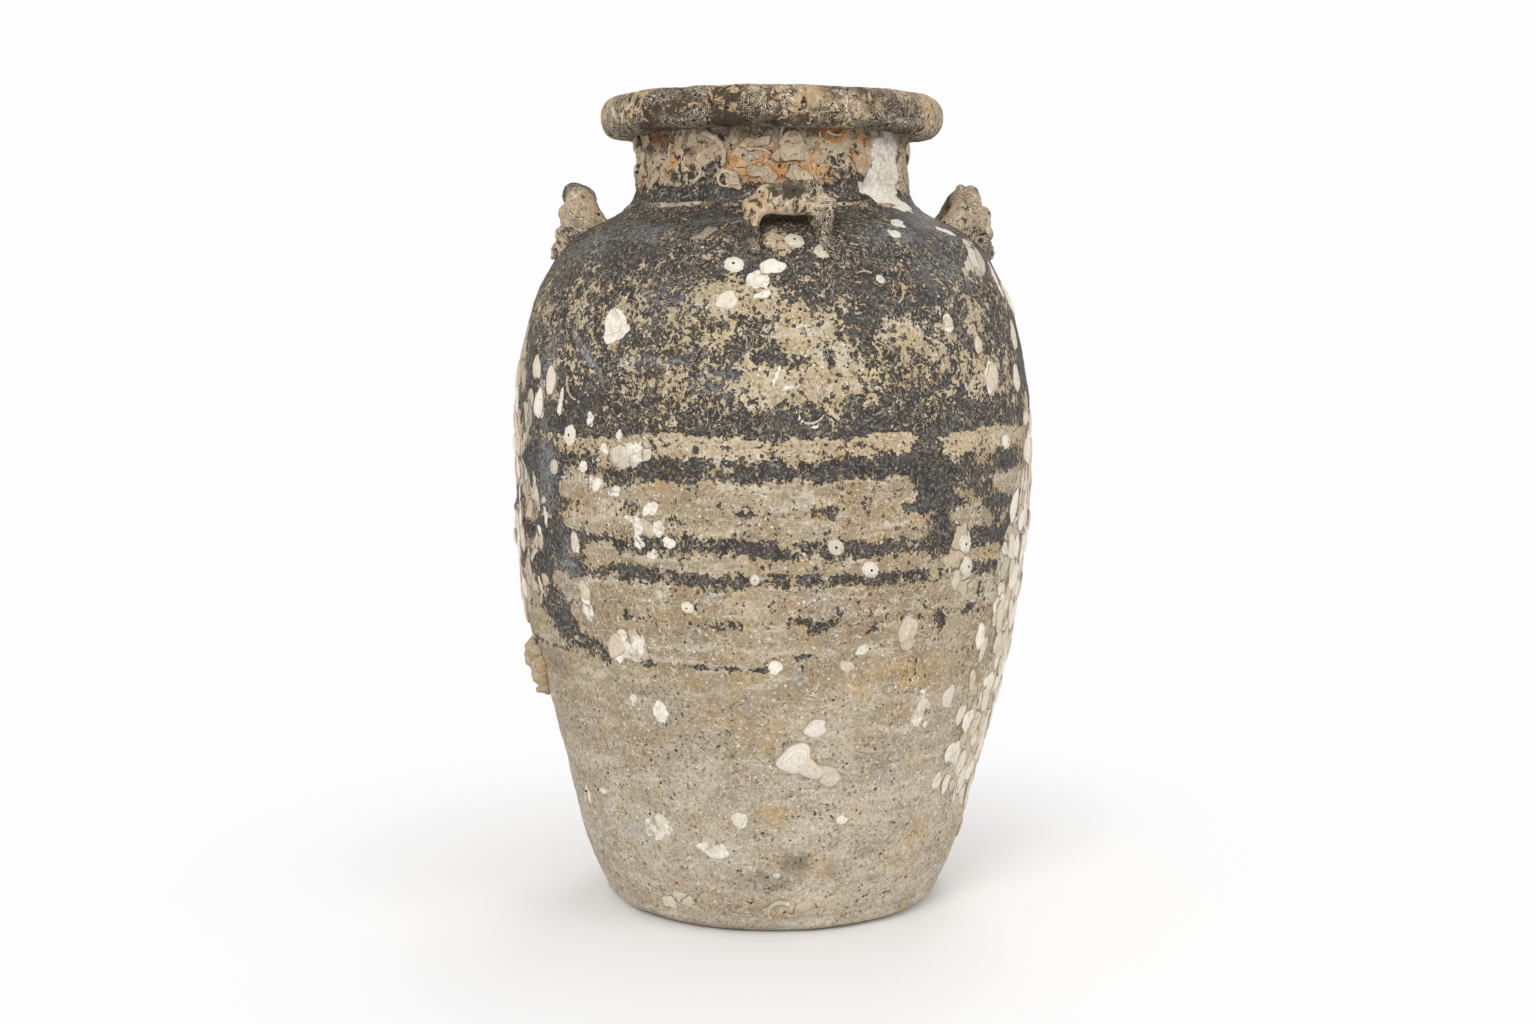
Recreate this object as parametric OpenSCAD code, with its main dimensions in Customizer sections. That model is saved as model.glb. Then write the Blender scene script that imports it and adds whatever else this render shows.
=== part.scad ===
// Martaban storage jar: a stoneware jar that a potter builds in sections and lutes
// together, with a rolled rim, four lugs on the shoulder, and the oysters, barnacles
// and worm tubes that grew on it under water.
// Millimetres, +Z up. The jar stands on z = 0 and its axis is the Z axis.
// The front lug points along -Y, the right lug along +X.

/* [Wall outline] */
// Radius of the flat underside
foot_r = 117; // [108:1:122]
// Height of the rounded heel
heel_h = 14; // [11:1:20]
// Distance by which the heel rounds out from the underside
heel_out = 14; // [10:1:16]
// Radius at the widest point
belly_r = 193; // [188:1:200]
// Height of the lower wall's gauge ring above the heel
lower_h = 96; // [86:1:104]
// Height from the lower gauge ring to the loin, where the wall turns upright
loin_h = 95; // [85:1:105]
// Height from the loin to the widest point
belly_h = 125; // [114:1:136]
// Distance by which the loin is set in from the widest point
loin_in = 12; // [8:1:15]
// Distance by which the lower gauge ring is set in from the loin
lower_in = 22; // [17:1:26]
// Height from the widest point to the upper gauge ring
upper_h = 90; // [80:1:98]
// Distance by which the upper gauge ring is set in from the widest point
upper_in = 7; // [4:0.5:9]
// Height from the upper gauge ring to the turn of the shoulder
shoulder_h = 46; // [41:1:50]
// Distance by which the turn of the shoulder is set in from the upper gauge ring
shoulder_in = 15; // [12:0.5:17]
// Height from the turn of the shoulder to its crown
crown_h = 36; // [32:1:40]
// Distance by which the crown is set in from the turn of the shoulder
crown_in = 30; // [26:1:33]
// Height from the crown of the shoulder to the collar, where the neck begins
collar_h = 13; // [11:0.5:15]
// Radius of the collar
collar_r = 115; // [112:1:118]
// Height from the collar to the narrowest part of the neck
waist_h = 35; // [30:1:39]
// Distance by which the neck narrows above the collar
waist_in = 15.5; // [13:0.5:17]
// Height from the narrowest part of the neck to its top edge, which carries the rim
neck_h = 31; // [28:1:34]
// Distance by which the neck's top edge turns out again
neck_out = 2; // [1:0.25:3]
// Thickness of the wall
wall_t = 10; // [8:0.5:11]
// Thickness of the base disc
floor_t = 15; // [12:0.5:18]
// Thickness of the neck's wall at its narrowest part, round the throat
throat_t = 10.5; // [9.5:0.25:12]
// Length of the straight throat in the neck, which takes a stopper
throat_h = 51; // [45:1:54]

/* [Luted joints] */
// Distance of the joint between the lower wall and the belly below the loin
low_joint_drop = 39; // [30:1:50]
// Height of the joint between the belly and the shoulder above the widest point
high_joint_rise = 16; // [8:1:30]
// Height of the joint between the shoulder and the neck above the collar
neck_joint_rise = 4; // [2:0.5:8]
// Height by which the inner half of a section stands up into the next one
lap_h = 9; // [6:0.5:12]
// Gap left by the dried slip in a lap joint
lap_gap = 0.2; // [0.1:0.05:0.4]

/* [Rim] */
// Distance by which the rolled rim stands out from the neck
rim_out = 26; // [22:0.5:30]
// Height of the roll
rim_h = 29; // [26:0.5:34]
// Height by which the roll hangs down round the neck's top edge
rim_lap_h = 10; // [7:0.5:12]
// Distance by which the mouth inside the roll is wider than the throat
mouth_out = 2; // [1.5:0.25:4]
// Radius of the roll's inner top edge
rim_edge = 4; // [3:0.5:5]

/* [Collar coil] */
// Radius of the thin coil that covers the neck joint
coil_r = 3; // [2:0.25:4]

/* [Lugs] */
// Distance by which a lug stands in from half-way between collar and turn of the shoulder
lug_in = 2; // [0:0.5:4]
// Distance between the middles of a lug's two legs
lug_span = 49; // [45:0.5:54]
// Height of the middle of a lug's bar above the shoulder
lug_rise = 23.5; // [22:0.5:27]
// Half thickness of a lug's bar
lug_bar = 9.5; // [7:0.25:10]
// Half width of a lug's bar, measured outwards from the jar
lug_depth = 11; // [9:0.5:13]
// Half thickness of a lug's leg where it meets the shoulder
lug_leg = 6.5; // [5:0.25:8]
// Clearance between the collar and a lug's foot
lug_clear = 7; // [6:0.5:10]
// Thickness of the dried slip under a lug's foot
lute_gap = 0.4; // [0.3:0.05:0.6]
// Number of lugs
lug_count = 4; // [4]

/* [Growth] */
// Gap between the jar and what is seated on it
seat_gap = 0.15; // [0.05:0.05:0.3]
// Length of an oyster of middle size
oyster_l = 25; // [18:0.5:26]
// Width of an oyster of middle size
oyster_w = 17; // [12:0.5:19]
// Height of an oyster's dome
oyster_h = 3.2; // [2:0.1:5]
// Length of a saddle oyster on the lower front
saddle_l = 27; // [22:0.5:30]
// Height of a saddle oyster's dome
saddle_h = 3.6; // [2.5:0.1:5]
// Outer diameter of an acorn barnacle at its base
barnacle_d = 13; // [9:0.5:15]
// Height of an acorn barnacle
barnacle_h = 4; // [3:0.25:6]
// Thickness of a worm tube
worm_d = 3; // [2:0.25:4]
// Radius of the bend of a worm tube
worm_bend = 11; // [8:0.5:14]
// Length of the barnacle lump on the left flank
lump_l = 40; // [32:1:44]
// Width of the barnacle lump
lump_w = 27; // [22:1:32]
// Height of the barnacle lump above the wall
lump_h = 14; // [9:0.5:17]
// Thickness of the crust on the neck
crust_t = 3; // [2:0.25:4.5]
// Length of a plate of crust, measured round the neck
crust_l = 36; // [30:1:39]
// Width of a plate of crust, measured up the neck
crust_w = 20; // [16:1:21]
// Height by which worm tubes bridge the hollow of the neck
hollow_lift = 0.5; // [0.3:0.1:1]

/* [Hidden] */

revolve_facets = 180;
sheet_step = 5;
curve_step = 2.5;
lower_z = heel_h + lower_h;
loin_z = lower_z + loin_h;
belly_z = loin_z + belly_h;
upper_z = belly_z + upper_h;
shoulder_z = upper_z + shoulder_h;
crown_z = shoulder_z + crown_h;
collar_z = crown_z + collar_h;
waist_z = collar_z + waist_h;
neck_top_z = waist_z + neck_h;
heel_r = foot_r + heel_out;
loin_r = belly_r - loin_in;
lower_r = loin_r - lower_in;
upper_r = belly_r - upper_in;
shoulder_r = upper_r - shoulder_in;
crown_r = shoulder_r - crown_in;
waist_r = collar_r - waist_in;
neck_top_r = waist_r + neck_out;
throat_r = waist_r - throat_t;
throat_z = neck_top_z - throat_h;
mouth_r = throat_r + mouth_out;
rim_r = neck_top_r + rim_out;
rim_z = neck_top_z - rim_lap_h + rim_h;
low_joint_z = loin_z - low_joint_drop;
high_joint_z = belly_z + high_joint_rise;
neck_joint_z = collar_z + neck_joint_rise;
lug_seat_r = (collar_r + shoulder_r) / 2 - lug_in;
lug_foot = lug_seat_r - collar_r - lug_clear;
curve_from = shoulder_z;
beyond = 2 * belly_r;

clay = [0.70, 0.64, 0.55];
pale_clay = [0.76, 0.71, 0.62];
glaze = [0.22, 0.22, 0.22];
rim_clay = [0.55, 0.49, 0.41];
rust_clay = [0.66, 0.52, 0.38];
shell_white = [0.87, 0.84, 0.78];
tube_white = [0.80, 0.76, 0.68];

// Gauge rings that the outside passes through: [height, radius].
gauges = [
    [0, foot_r],
    [heel_h * 0.3, foot_r + (heel_r - foot_r) * 0.62],
    [heel_h, heel_r],
    [lower_z, lower_r],
    [loin_z, loin_r],
    [belly_z, belly_r],
    [upper_z, upper_r],
    [shoulder_z, shoulder_r],
    [crown_z, crown_r],
    [collar_z, collar_r],
    [waist_z, waist_r],
    [neck_top_z, neck_top_r]
];
last = len(gauges) - 1;

// Slope between gauge i and the next, and the slope of the smooth curve at gauge i.
function chord(i) =
    (gauges[i + 1][1] - gauges[i][1]) / (gauges[i + 1][0] - gauges[i][0]);
function rise(i) = gauges[i + 1][0] - gauges[i][0];
function slope_at(i) =
    i == 0 ? chord(0) :
    i == last ? chord(last - 1) :
    (chord(i - 1) * rise(i) + chord(i) * rise(i - 1)) / (rise(i - 1) + rise(i));

// Outer radius of the jar at height z, a smooth curve through the gauges.
function gauge_below(z, i = 0) =
    i >= last - 1 || z < gauges[i + 1][0] ? i : gauge_below(z, i + 1);
function hermite(i, t) =
    gauges[i][1] * (2 * pow(t, 3) - 3 * pow(t, 2) + 1)
    + slope_at(i) * rise(i) * (pow(t, 3) - 2 * pow(t, 2) + t)
    + gauges[i + 1][1] * (3 * pow(t, 2) - 2 * pow(t, 3))
    + slope_at(i + 1) * rise(i) * (pow(t, 3) - pow(t, 2));
function outer_r(z) =
    let (i = gauge_below(z)) hermite(i, (z - gauges[i][0]) / rise(i));

// Unit normal of the outside at height z, as [outwards, upwards].
function out_normal(z) =
    let (d = 0.5, lean = (outer_r(z + d) - outer_r(z - d)) / (2 * d), n = norm([1, lean]))
    [1 / n, -lean / n];
function inner_point(z) = [outer_r(z), z] - wall_t * out_normal(z);

heights = concat(
    [for (z = [0 : sheet_step : curve_from - curve_step]) z],
    [for (z = [curve_from : curve_step : neck_top_z - 1]) z],
    [neck_top_z]
);
outer_line = [for (z = heights) [outer_r(z), z]];
inner_line = [
    for (z = heights)
        let (p = inner_point(z))
            if (z > heel_h && p[1] > floor_t + 1 && p[1] < throat_z - 3 && p[0] > throat_r) p
];
wall_outline = concat(
    [[0, 0]],
    outer_line,
    [[throat_r, neck_top_z], [throat_r, throat_z]],
    [for (i = [len(inner_line) - 1 : -1 : 0]) inner_line[i]],
    [[inner_line[0][0], floor_t], [0, floor_t]]
);

// Height of the shoulder's surface above a point at radius r.
shoulder_table = [for (z = [upper_z : 1 : waist_z - 1]) [outer_r(z), z]];
function shoulder_height(r) = lookup(r, shoulder_table);
lug_seat_z = shoulder_height(lug_seat_r);

// Half-way radius of the wall at a joint, where the lap steps.
function joint_r(z) = outer_r(z) - wall_t / 2;

// Region above or below the stepped line of a lap joint, in the outline's plane.
module above_joint(z, lap) {
    translate([joint_r(z), z]) square([beyond, neck_top_z]);
    translate([0, z + lap]) square([beyond, neck_top_z]);
}
module below_joint(z, lap) {
    translate([0, z - neck_top_z]) square([beyond, neck_top_z]);
    if (lap > 0)
        translate([0, z - 1]) square([joint_r(z) - lap_gap, lap - lap_gap + 1]);
}
module turned() rotate_extrude($fn = revolve_facets) children();

module base_disc() color(clay) turned() intersection() {
    polygon(wall_outline);
    union() {
        square([beyond, heel_h]);
        square([inner_line[0][0] - lap_gap, floor_t + 1]);
    }
}
module lower_wall() color(pale_clay) turned() intersection() {
    polygon(wall_outline);
    union() {
        translate([inner_line[0][0], heel_h]) square([beyond, neck_top_z]);
        translate([0, floor_t]) square([beyond, neck_top_z]);
    }
    below_joint(low_joint_z, lap_h);
}
module belly_wall() color(clay) turned() intersection() {
    polygon(wall_outline);
    above_joint(low_joint_z, lap_h);
    below_joint(high_joint_z, lap_h);
}
module shoulder_wall() color(glaze) turned() intersection() {
    polygon(wall_outline);
    above_joint(high_joint_z, lap_h);
    below_joint(neck_joint_z, 0);
}
module neck_wall() color(rust_clay) turned() intersection() {
    polygon(wall_outline);
    above_joint(neck_joint_z, 0);
}

// Section of the roll: flat on top, full on the outside, tucked in under the lip.
module roll_section() {
    tube = rim_h / 2;
    flat = rim_h * 0.33;
    translate([rim_r - tube, rim_z - tube]) circle(r = tube, $fn = 64);
    translate([mouth_r, rim_z - flat - rim_edge]) square([rim_r - tube - mouth_r, flat]);
    translate([mouth_r, neck_top_z])
        square([rim_r - tube - mouth_r, rim_z - rim_edge - neck_top_z]);
    translate([mouth_r + rim_edge, rim_z - flat])
        square([rim_r - tube - mouth_r - rim_edge, flat]);
    translate([mouth_r + rim_edge, rim_z - rim_edge]) circle(r = rim_edge, $fn = 32);
}
module rim_roll() color(rim_clay) turned() difference() {
    roll_section();
    square([neck_top_r + lap_gap, neck_top_z]);
}
coil_reach = 7 * coil_r;
module collar_coil() color(pale_clay) turned() difference() {
    translate([outer_r(neck_joint_z), neck_joint_z]) circle(r = coil_r, $fn = 32);
    polygon(concat(
        [[0, neck_joint_z - coil_reach]],
        [for (z = [neck_joint_z - coil_reach : coil_reach / 20 : neck_joint_z + coil_reach])
            [outer_r(z) + seat_gap, z]],
        [[0, neck_joint_z + coil_reach]]
    ));
}

// A solid through rings of points, all with the same count, a multiple of four. Each end
// is closed by strips from side to side, so that it can follow a curved surface.
function end_strips(n) = [
    for (i = [0 : n / 4 - 1]) each concat(
        [[i, i + 1, n / 2 - i], [n / 2 + i, n - i - 1, (n - i) % n]],
        i < n / 4 - 1 ? [[i + 1, n / 2 - i - 1, n / 2 - i], [n / 2 + i, n / 2 + i + 1, n - i - 1]] : []
    )
];
module skin(rings) {
    n = len(rings[0]);
    m = len(rings);
    function at(j, i) = j * n + i % n;
    polyhedron(
        points = [for (ring = rings) each ring],
        faces = concat(
            [for (j = [0 : m - 2]) for (i = [0 : n - 1]) [at(j, i), at(j, i + 1), at(j + 1, i + 1)]],
            [for (j = [0 : m - 2]) for (i = [0 : n - 1]) [at(j, i), at(j + 1, i + 1), at(j + 1, i)]],
            [for (t = end_strips(n)) [t[0], t[2], t[1]]],
            [for (t = end_strips(n)) [at(m - 1, t[0]), at(m - 1, t[1]), at(m - 1, t[2])]]
        )
    );
}

// One lug: an arch over the shoulder, thick in the bar, pinched in the legs and spread at
// the feet. A point is given along the jar's side, outwards, and above the shoulder: the
// feet follow the shoulder's slope, and the bar lies level.
lug_rings = 18;
lug_sides = 16;
lug_square = 0.62;
function squared(v) = sign(v) * pow(abs(v), lug_square);
function lug_point(p) =
    let (
        surface = shoulder_height(norm([p[0], p[1]])),
        level = min(1, p[2] / lug_rise),
        base = surface + (lug_seat_z - surface) * level * level
    )
    [p[0], -p[1], base + lute_gap + p[2]];
function lug_ring(s) =
    let (
        a = 180 * s,
        x = lug_span / 2 * squared(cos(a)),
        h = lug_rise * squared(sin(a)),
        out = s == 0 || s == 1 ? [cos(a), 0] :
            let (
                e = 2,
                along = [lug_span / 2 * (squared(cos(a + e)) - squared(cos(a - e))),
                    lug_rise * (squared(sin(min(180, a + e))) - squared(sin(max(0, a - e))))]
            ) [along[1], -along[0]] / norm(along),
        top = pow(sin(a), 2),
        thick = lug_leg + (lug_bar - lug_leg) * top,
        deep = lug_depth + (lug_foot - lug_depth) * pow(1 - h / lug_rise, 1.6)
    )
    [
        for (k = [0 : lug_sides - 1])
            let (b = 360 * k / lug_sides, o = thick * cos(b))
                lug_point([x + o * out[0], lug_seat_r + deep * sin(b), max(0, h + o * out[1])])
    ];
module lug(turn) color(pale_clay) rotate([0, 0, turn])
    skin([for (j = [0 : lug_rings]) lug_ring(j / lug_rings)]);
module lug_front() lug(0);
module lug_right() lug(360 / lug_count);
module lug_back() lug(2 * 360 / lug_count);
module lug_left() lug(-360 / lug_count);

// A point on the jar's outside, raised by h along its normal. The place is an angle
// from the front towards the right, and a height; u and v move round and up the wall.
function on_wall(angle, z, u, v, h) =
    let (
        lean = out_normal(z)[1],
        zz = z + v * sqrt(1 - lean * lean),
        n = out_normal(zz),
        r = outer_r(zz) + h * n[0],
        a = angle + u / outer_r(z) * 180 / PI
    )
    [r * sin(a), -r * cos(a), zz + h * n[1]];

// One shell: an uneven oval with a domed top, its underside just clear of the wall.
// The size is [length, width, height], and turn is the angle of its length from level.
// The dome is a list of rings, each [share of the width, share of the height].
shell_sides = 10;
shell_dome = [[0.6, 0.84], [0.92, 0.42]];
function shell_edge(b, seed) = 1 + 0.06 * sin(2 * b + seed * 77) + 0.04 * sin(3 * b + seed * 131);
function shell_at(angle, z, size, turn, b, share, h, seed) =
    let (
        e = share * shell_edge(b, seed),
        x = size[0] / 2 * e * cos(b),
        y = size[1] / 2 * e * sin(b)
    )
    on_wall(angle, z, x * cos(turn) - y * sin(turn), x * sin(turn) + y * cos(turn), h);
module shell(angle, z, size, turn, seed = 1, dome = shell_dome, sides = shell_sides) {
    n = sides;
    rings = len(dome);
    bow = pow(max(size[0], size[1]) / 2, 2) / (8 * outer_r(z));
    edge_h = seat_gap + 0.4 * bow;
    points = concat(
        [on_wall(angle, z, 0, 0, edge_h + size[2])],
        [for (ring = dome) for (i = [0 : n - 1])
            shell_at(angle, z, size, turn, 360 * i / n, ring[0], edge_h + size[2] * ring[1], seed)],
        [for (i = [0 : n - 1]) shell_at(angle, z, size, turn, 360 * i / n, 1, edge_h, seed)],
        [on_wall(angle, z, 0, 0, seat_gap + 2 * bow)]
    );
    function at(j, i) = 1 + j * n + i % n;
    polyhedron(points = points, faces = concat(
        [for (i = [0 : n - 1]) [0, at(0, i + 1), at(0, i)]],
        [for (j = [0 : rings - 1]) for (i = [0 : n - 1]) [at(j, i), at(j, i + 1), at(j + 1, i + 1)]],
        [for (j = [0 : rings - 1]) for (i = [0 : n - 1]) [at(j, i), at(j + 1, i + 1), at(j + 1, i)]],
        [for (i = [0 : n - 1]) [at(rings, i), at(rings, i + 1), at(rings + 1, 0)]]
    ));
}

// A colony of shells in staggered rows inside a patch of the wall, each row's shells
// shifted, turned and sized a little differently.
module colony(angle, share, rows, columns, seed, tall = 1) {
    pitch_u = oyster_w * 1.24;
    pitch_v = oyster_l * 1.06;
    for (j = [0 : rows - 1]) for (i = [0 : columns - 1]) {
        dice = rands(-1, 1, 6, seed + 31 * j + 7 * i);
        grown = 0.74 + 0.14 * dice[2];
        play = oyster_w * (0.09 + (0.88 - grown) * 0.5);
        zz = share * neck_top_z + pitch_v * (j + 0.16 * (i % 2)) + play * dice[0];
        a = angle + (pitch_u * (i + 0.5 * (j % 2)) + play * dice[1]) / outer_r(zz) * 180 / PI;
        size = [oyster_l * grown, oyster_w * (grown + 0.05 * dice[3]),
            oyster_h * tall * (1 + 0.3 * dice[4])];
        shell(a, zz, size, 90 + 25 * dice[5], seed + i + 3 * j);
    }
}

module oysters_right_flank() color(shell_white) {
    colony(52, 0.0998, 4, 3, 5);
    colony(50, 0.2892, 3, 4, 23);
    colony(62, 0.4372, 4, 2, 41);
}
module oysters_left_flank() color(shell_white) {
    colony(-92, 0.3752, 3, 4, 61, tall = 1.7);
    colony(-76, 0.5198, 4, 2, 83, tall = 1.1);
}
module oysters_back() color(shell_white) {
    colony(150, 0.1583, 4, 4, 101);
    colony(-160, 0.4509, 3, 4, 131);
}
// One oyster: its place is given as an angle and a share of the height of the neck's top edge,
// and its size in shares of an oyster of middle size.
module oyster(angle, share, size, turn, seed)
    shell(angle, share * neck_top_z,
        [size[0] * oyster_l, size[1] * oyster_w, size[2] * oyster_h], turn, seed);
module oysters_shoulder() color(shell_white) {
    oyster(-52, 0.7539, [0.80, 1.00, 0.62], 100, 2);
    oyster(-40, 0.7091, [0.60, 0.76, 0.50], 30, 3);
    oyster(-14, 0.778, [0.68, 0.76, 0.56], 10, 4);
    oyster(48, 0.7229, [0.76, 0.94, 0.56], 70, 6);
    oyster(63, 0.6816, [0.80, 0.88, 0.56], 95, 7);
    oyster(118, 0.7435, [0.88, 1.00, 0.75], 50, 8);
    oyster(-140, 0.7194, [0.84, 1.00, 0.69], 120, 9);
}
module saddle(angle, share, size, turn, seed)
    shell(angle, share * neck_top_z,
        [size[0] * saddle_l, size[1] * saddle_l, size[2] * saddle_h], turn, seed);
module saddle_oysters() color(shell_white) {
    saddle(2, 0.2375, [1, 0.86, 1], -20, 11);
    saddle(9.4, 0.2125, [0.66, 0.6, 0.9], -35, 12);
    saddle(5.8, 0.2805, [0.58, 0.48, 0.6], 25, 13);
    saddle(26, 0.3925, [0.85, 0.52, 0.66], 78, 14);
}

// Acorn barnacle: a low cone with a hole in its top, standing square to the wall.
module barnacle(angle, share, size = 1) {
    z = share * neck_top_z;
    n = out_normal(z);
    base = barnacle_d / 2 * size;
    tall = barnacle_h * size;
    lift = base * base / (2 * outer_r(z)) + seat_gap;
    translate([0, 0, z]) rotate([0, 0, angle]) translate([0, -outer_r(z), 0])
        rotate([90 - atan2(n[1], n[0]), 0, 0]) translate([0, 0, lift]) difference() {
            cylinder(r1 = base, r2 = base * 0.5, h = tall, $fn = 32);
            translate([0, 0, tall * 0.5]) cylinder(r = base * 0.26, h = tall, $fn = 32);
        }
}
module acorn_barnacles() color(shell_white) {
    barnacle(-60.5, 0.6334, 1.25);
    barnacle(-56, 0.5783, 0.8);
    barnacle(-13, 0.8107, 0.95);
    barnacle(14.5, 0.809, 0.85);
    barnacle(16, 0.4682, 0.9);
    barnacle(4, 0.5009, 0.7);
    barnacle(-22, 0.4234, 0.8);
    barnacle(41, 0.4613, 1);
    barnacle(70, 0.6299, 0.9);
    barnacle(105, 0.5164, 1.1);
    barnacle(140, 0.6403, 1);
    barnacle(176, 0.4234, 1.2);
    barnacle(-128, 0.2582, 1.1);
    barnacle(-150, 0.6299, 0.9);
    barnacle(-112, 0.6885, 0.8);
}

// The lump on the left flank, where barnacles have grown over one another.
lump_dome = [[0.3, 0.96], [0.58, 0.83], [0.8, 0.56], [0.95, 0.22]];
module barnacle_lump() color(tube_white)
    shell(-86, 0.3098 * neck_top_z, [lump_l, lump_w, lump_h], 84, 5, lump_dome, 16);

// Crust on the neck: flat plates of old shell with uneven edges, in a band under the rim.
crust_band_z = waist_z + (neck_h - rim_lap_h) * 0.31;
module crust_plate(angle, l, w, lean, seed, thick = 1)
    shell(angle, crust_band_z, [l * crust_l, w * crust_w, crust_t * thick], lean, seed);
module neck_crust() color(rust_clay) {
    crust_plate(-52, 0.97, 1.05, 6, 21, 1.3);
    crust_plate(-22, 0.83, 0.95, -5, 22);
    crust_plate(8, 1.06, 1.00, 4, 23);
    crust_plate(41, 1.06, 1.05, -4, 24);
    crust_plate(72, 0.94, 1.00, 8, 25);
    crust_plate(106, 0.94, 1.05, -6, 26);
    crust_plate(141, 1.00, 1.00, 5, 27);
    crust_plate(-176, 1.00, 1.05, -5, 28);
    crust_plate(-136, 0.89, 1.00, 8, 29, 1.2);
    crust_plate(-90, 1.06, 1.05, -4, 30, 1.4);
}

// Worm tube: a bent tube that lies on the wall, or a little above it in a hollow.
module worm_at(angle, z, bend, sweep, turn, lift = 0) {
    n = out_normal(z);
    lie = bend * bend / (2 * outer_r(z)) + seat_gap + worm_d / 2 + lift;
    translate([0, 0, z]) rotate([0, 0, angle]) translate([0, -outer_r(z), 0])
        rotate([90 - atan2(n[1], n[0]), 0, 0]) rotate([0, 0, turn]) translate([0, 0, lie])
            rotate_extrude(angle = sweep, $fn = 48)
                translate([bend, 0]) circle(r = worm_d / 2, $fn = 24);
}
module worm(angle, share, bend, sweep, turn)
    worm_at(angle, share * neck_top_z, bend, sweep, turn);
worm_band_z = waist_z - waist_h * 0.443;
module worm_tubes_neck() color(tube_white) {
    worm_at(-36, worm_band_z, worm_bend * 0.45, 150, -60, hollow_lift);
    worm_at(-6, worm_band_z, worm_bend * 0.5, 170, 160, hollow_lift);
    worm_at(27, worm_band_z + worm_d / 3, worm_bend * 0.45, 120, 30, hollow_lift);
    worm_at(58, worm_band_z, worm_bend * 0.5, 130, 200, hollow_lift);
    worm_at(130, worm_band_z, worm_bend * 0.5, 150, 20, hollow_lift);
    worm_at(-152, worm_band_z + worm_d / 3, worm_bend * 0.5, 140, 100, hollow_lift);
}
module worm_tubes_body() color(tube_white) {
    worm(7, 0.0448, worm_bend, 190, 20);
    worm(-8, 0.685, worm_bend * 1.1, 95, 10);
    worm(2, 0.6403, worm_bend, 80, 250);
    worm(-52, 0.6885, worm_bend, 100, 170);
    worm(-47, 0.148, worm_bend, 100, 60);
    worm(27, 0.1033, worm_bend, 110, 200);
    worm(24, 0.7745, worm_bend, 120, 300);
    worm(100, 0.327, worm_bend, 140, 30);
    worm(-110, 0.1893, worm_bend, 160, 120);
    worm(165, 0.568, worm_bend, 120, 210);
    worm(-170, 0.3442, worm_bend * 1.1, 130, 330);
}

base_disc();
lower_wall();
belly_wall();
shoulder_wall();
neck_wall();
rim_roll();
collar_coil();
lug_front();
lug_right();
lug_back();
lug_left();
oysters_right_flank();
oysters_left_flank();
oysters_back();
oysters_shoulder();
saddle_oysters();
acorn_barnacles();
barnacle_lump();
neck_crust();
worm_tubes_neck();
worm_tubes_body();
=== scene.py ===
import itertools
import math
import random

import bmesh
import bpy
import numpy as np
from mathutils import Matrix, Vector


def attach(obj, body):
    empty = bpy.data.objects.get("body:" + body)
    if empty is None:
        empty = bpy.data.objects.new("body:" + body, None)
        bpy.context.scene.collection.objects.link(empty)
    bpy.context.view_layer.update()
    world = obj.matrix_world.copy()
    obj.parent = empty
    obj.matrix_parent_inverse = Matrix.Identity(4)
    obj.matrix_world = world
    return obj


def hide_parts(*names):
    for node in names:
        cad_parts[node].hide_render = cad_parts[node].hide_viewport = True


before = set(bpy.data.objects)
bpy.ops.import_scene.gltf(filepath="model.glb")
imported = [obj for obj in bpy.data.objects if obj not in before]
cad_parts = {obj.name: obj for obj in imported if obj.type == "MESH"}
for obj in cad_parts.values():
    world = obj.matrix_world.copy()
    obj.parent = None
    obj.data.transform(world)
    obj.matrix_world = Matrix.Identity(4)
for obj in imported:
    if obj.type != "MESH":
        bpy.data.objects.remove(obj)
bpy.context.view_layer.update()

print("frame loaded")

mm = 0.001

# Camera, lamps, floor and background.
view = {
    "distance": 1.470,  # level distance from the jar's axis
    "height": 0.459,
    "azimuth": -4.3,  # degrees, to the left of the front lug
    "yaw": 0.12,
    "tiltDown": 6.54,
    "lens": 45.4,
}


def makeCamera():
    camera = bpy.data.objects.new("camera", bpy.data.cameras.new("camera"))
    bpy.context.scene.collection.objects.link(camera)
    turn = math.radians(view["azimuth"])
    camera.location = (view["distance"] * math.sin(turn), -view["distance"] * math.cos(turn), view["height"])
    camera.rotation_euler = (math.radians(90 - view["tiltDown"]), 0, turn + math.radians(view["yaw"]))
    camera.data.lens = view["lens"]
    camera.data.clip_start = 0.05
    bpy.context.scene.camera = camera


def makeLamp(name, place, size, power, target=(0, 0, 0.28)):
    lamp = bpy.data.objects.new(name, bpy.data.lights.new(name, "AREA"))
    lamp.data.shape = "DISK"
    lamp.data.size = size
    lamp.data.energy = power
    lamp.location = place
    lamp.rotation_euler = (Vector(target) - Vector(place)).to_track_quat("-Z", "Y").to_euler()
    bpy.context.scene.collection.objects.link(lamp)


# Short names for building shader nodes.
def feed(tree, socket, value):
    if isinstance(value, bpy.types.NodeSocket):
        tree.links.new(value, socket)
    elif socket.type == "RGBA" and len(value) == 3:
        socket.default_value = (*value, 1)
    else:
        socket.default_value = value


def put(tree, kind, inputs=None, **settings):
    item = tree.nodes.new(kind)
    for key, value in settings.items():
        setattr(item, key, value)
    for key, value in (inputs or {}).items():
        feed(tree, item.inputs[key], value)
    return item


def calc(tree, operation, a, b=0.0, c=0.0):
    return put(tree, "ShaderNodeMath", {0: a, 1: b, 2: c}, operation=operation).outputs[0]


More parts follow.
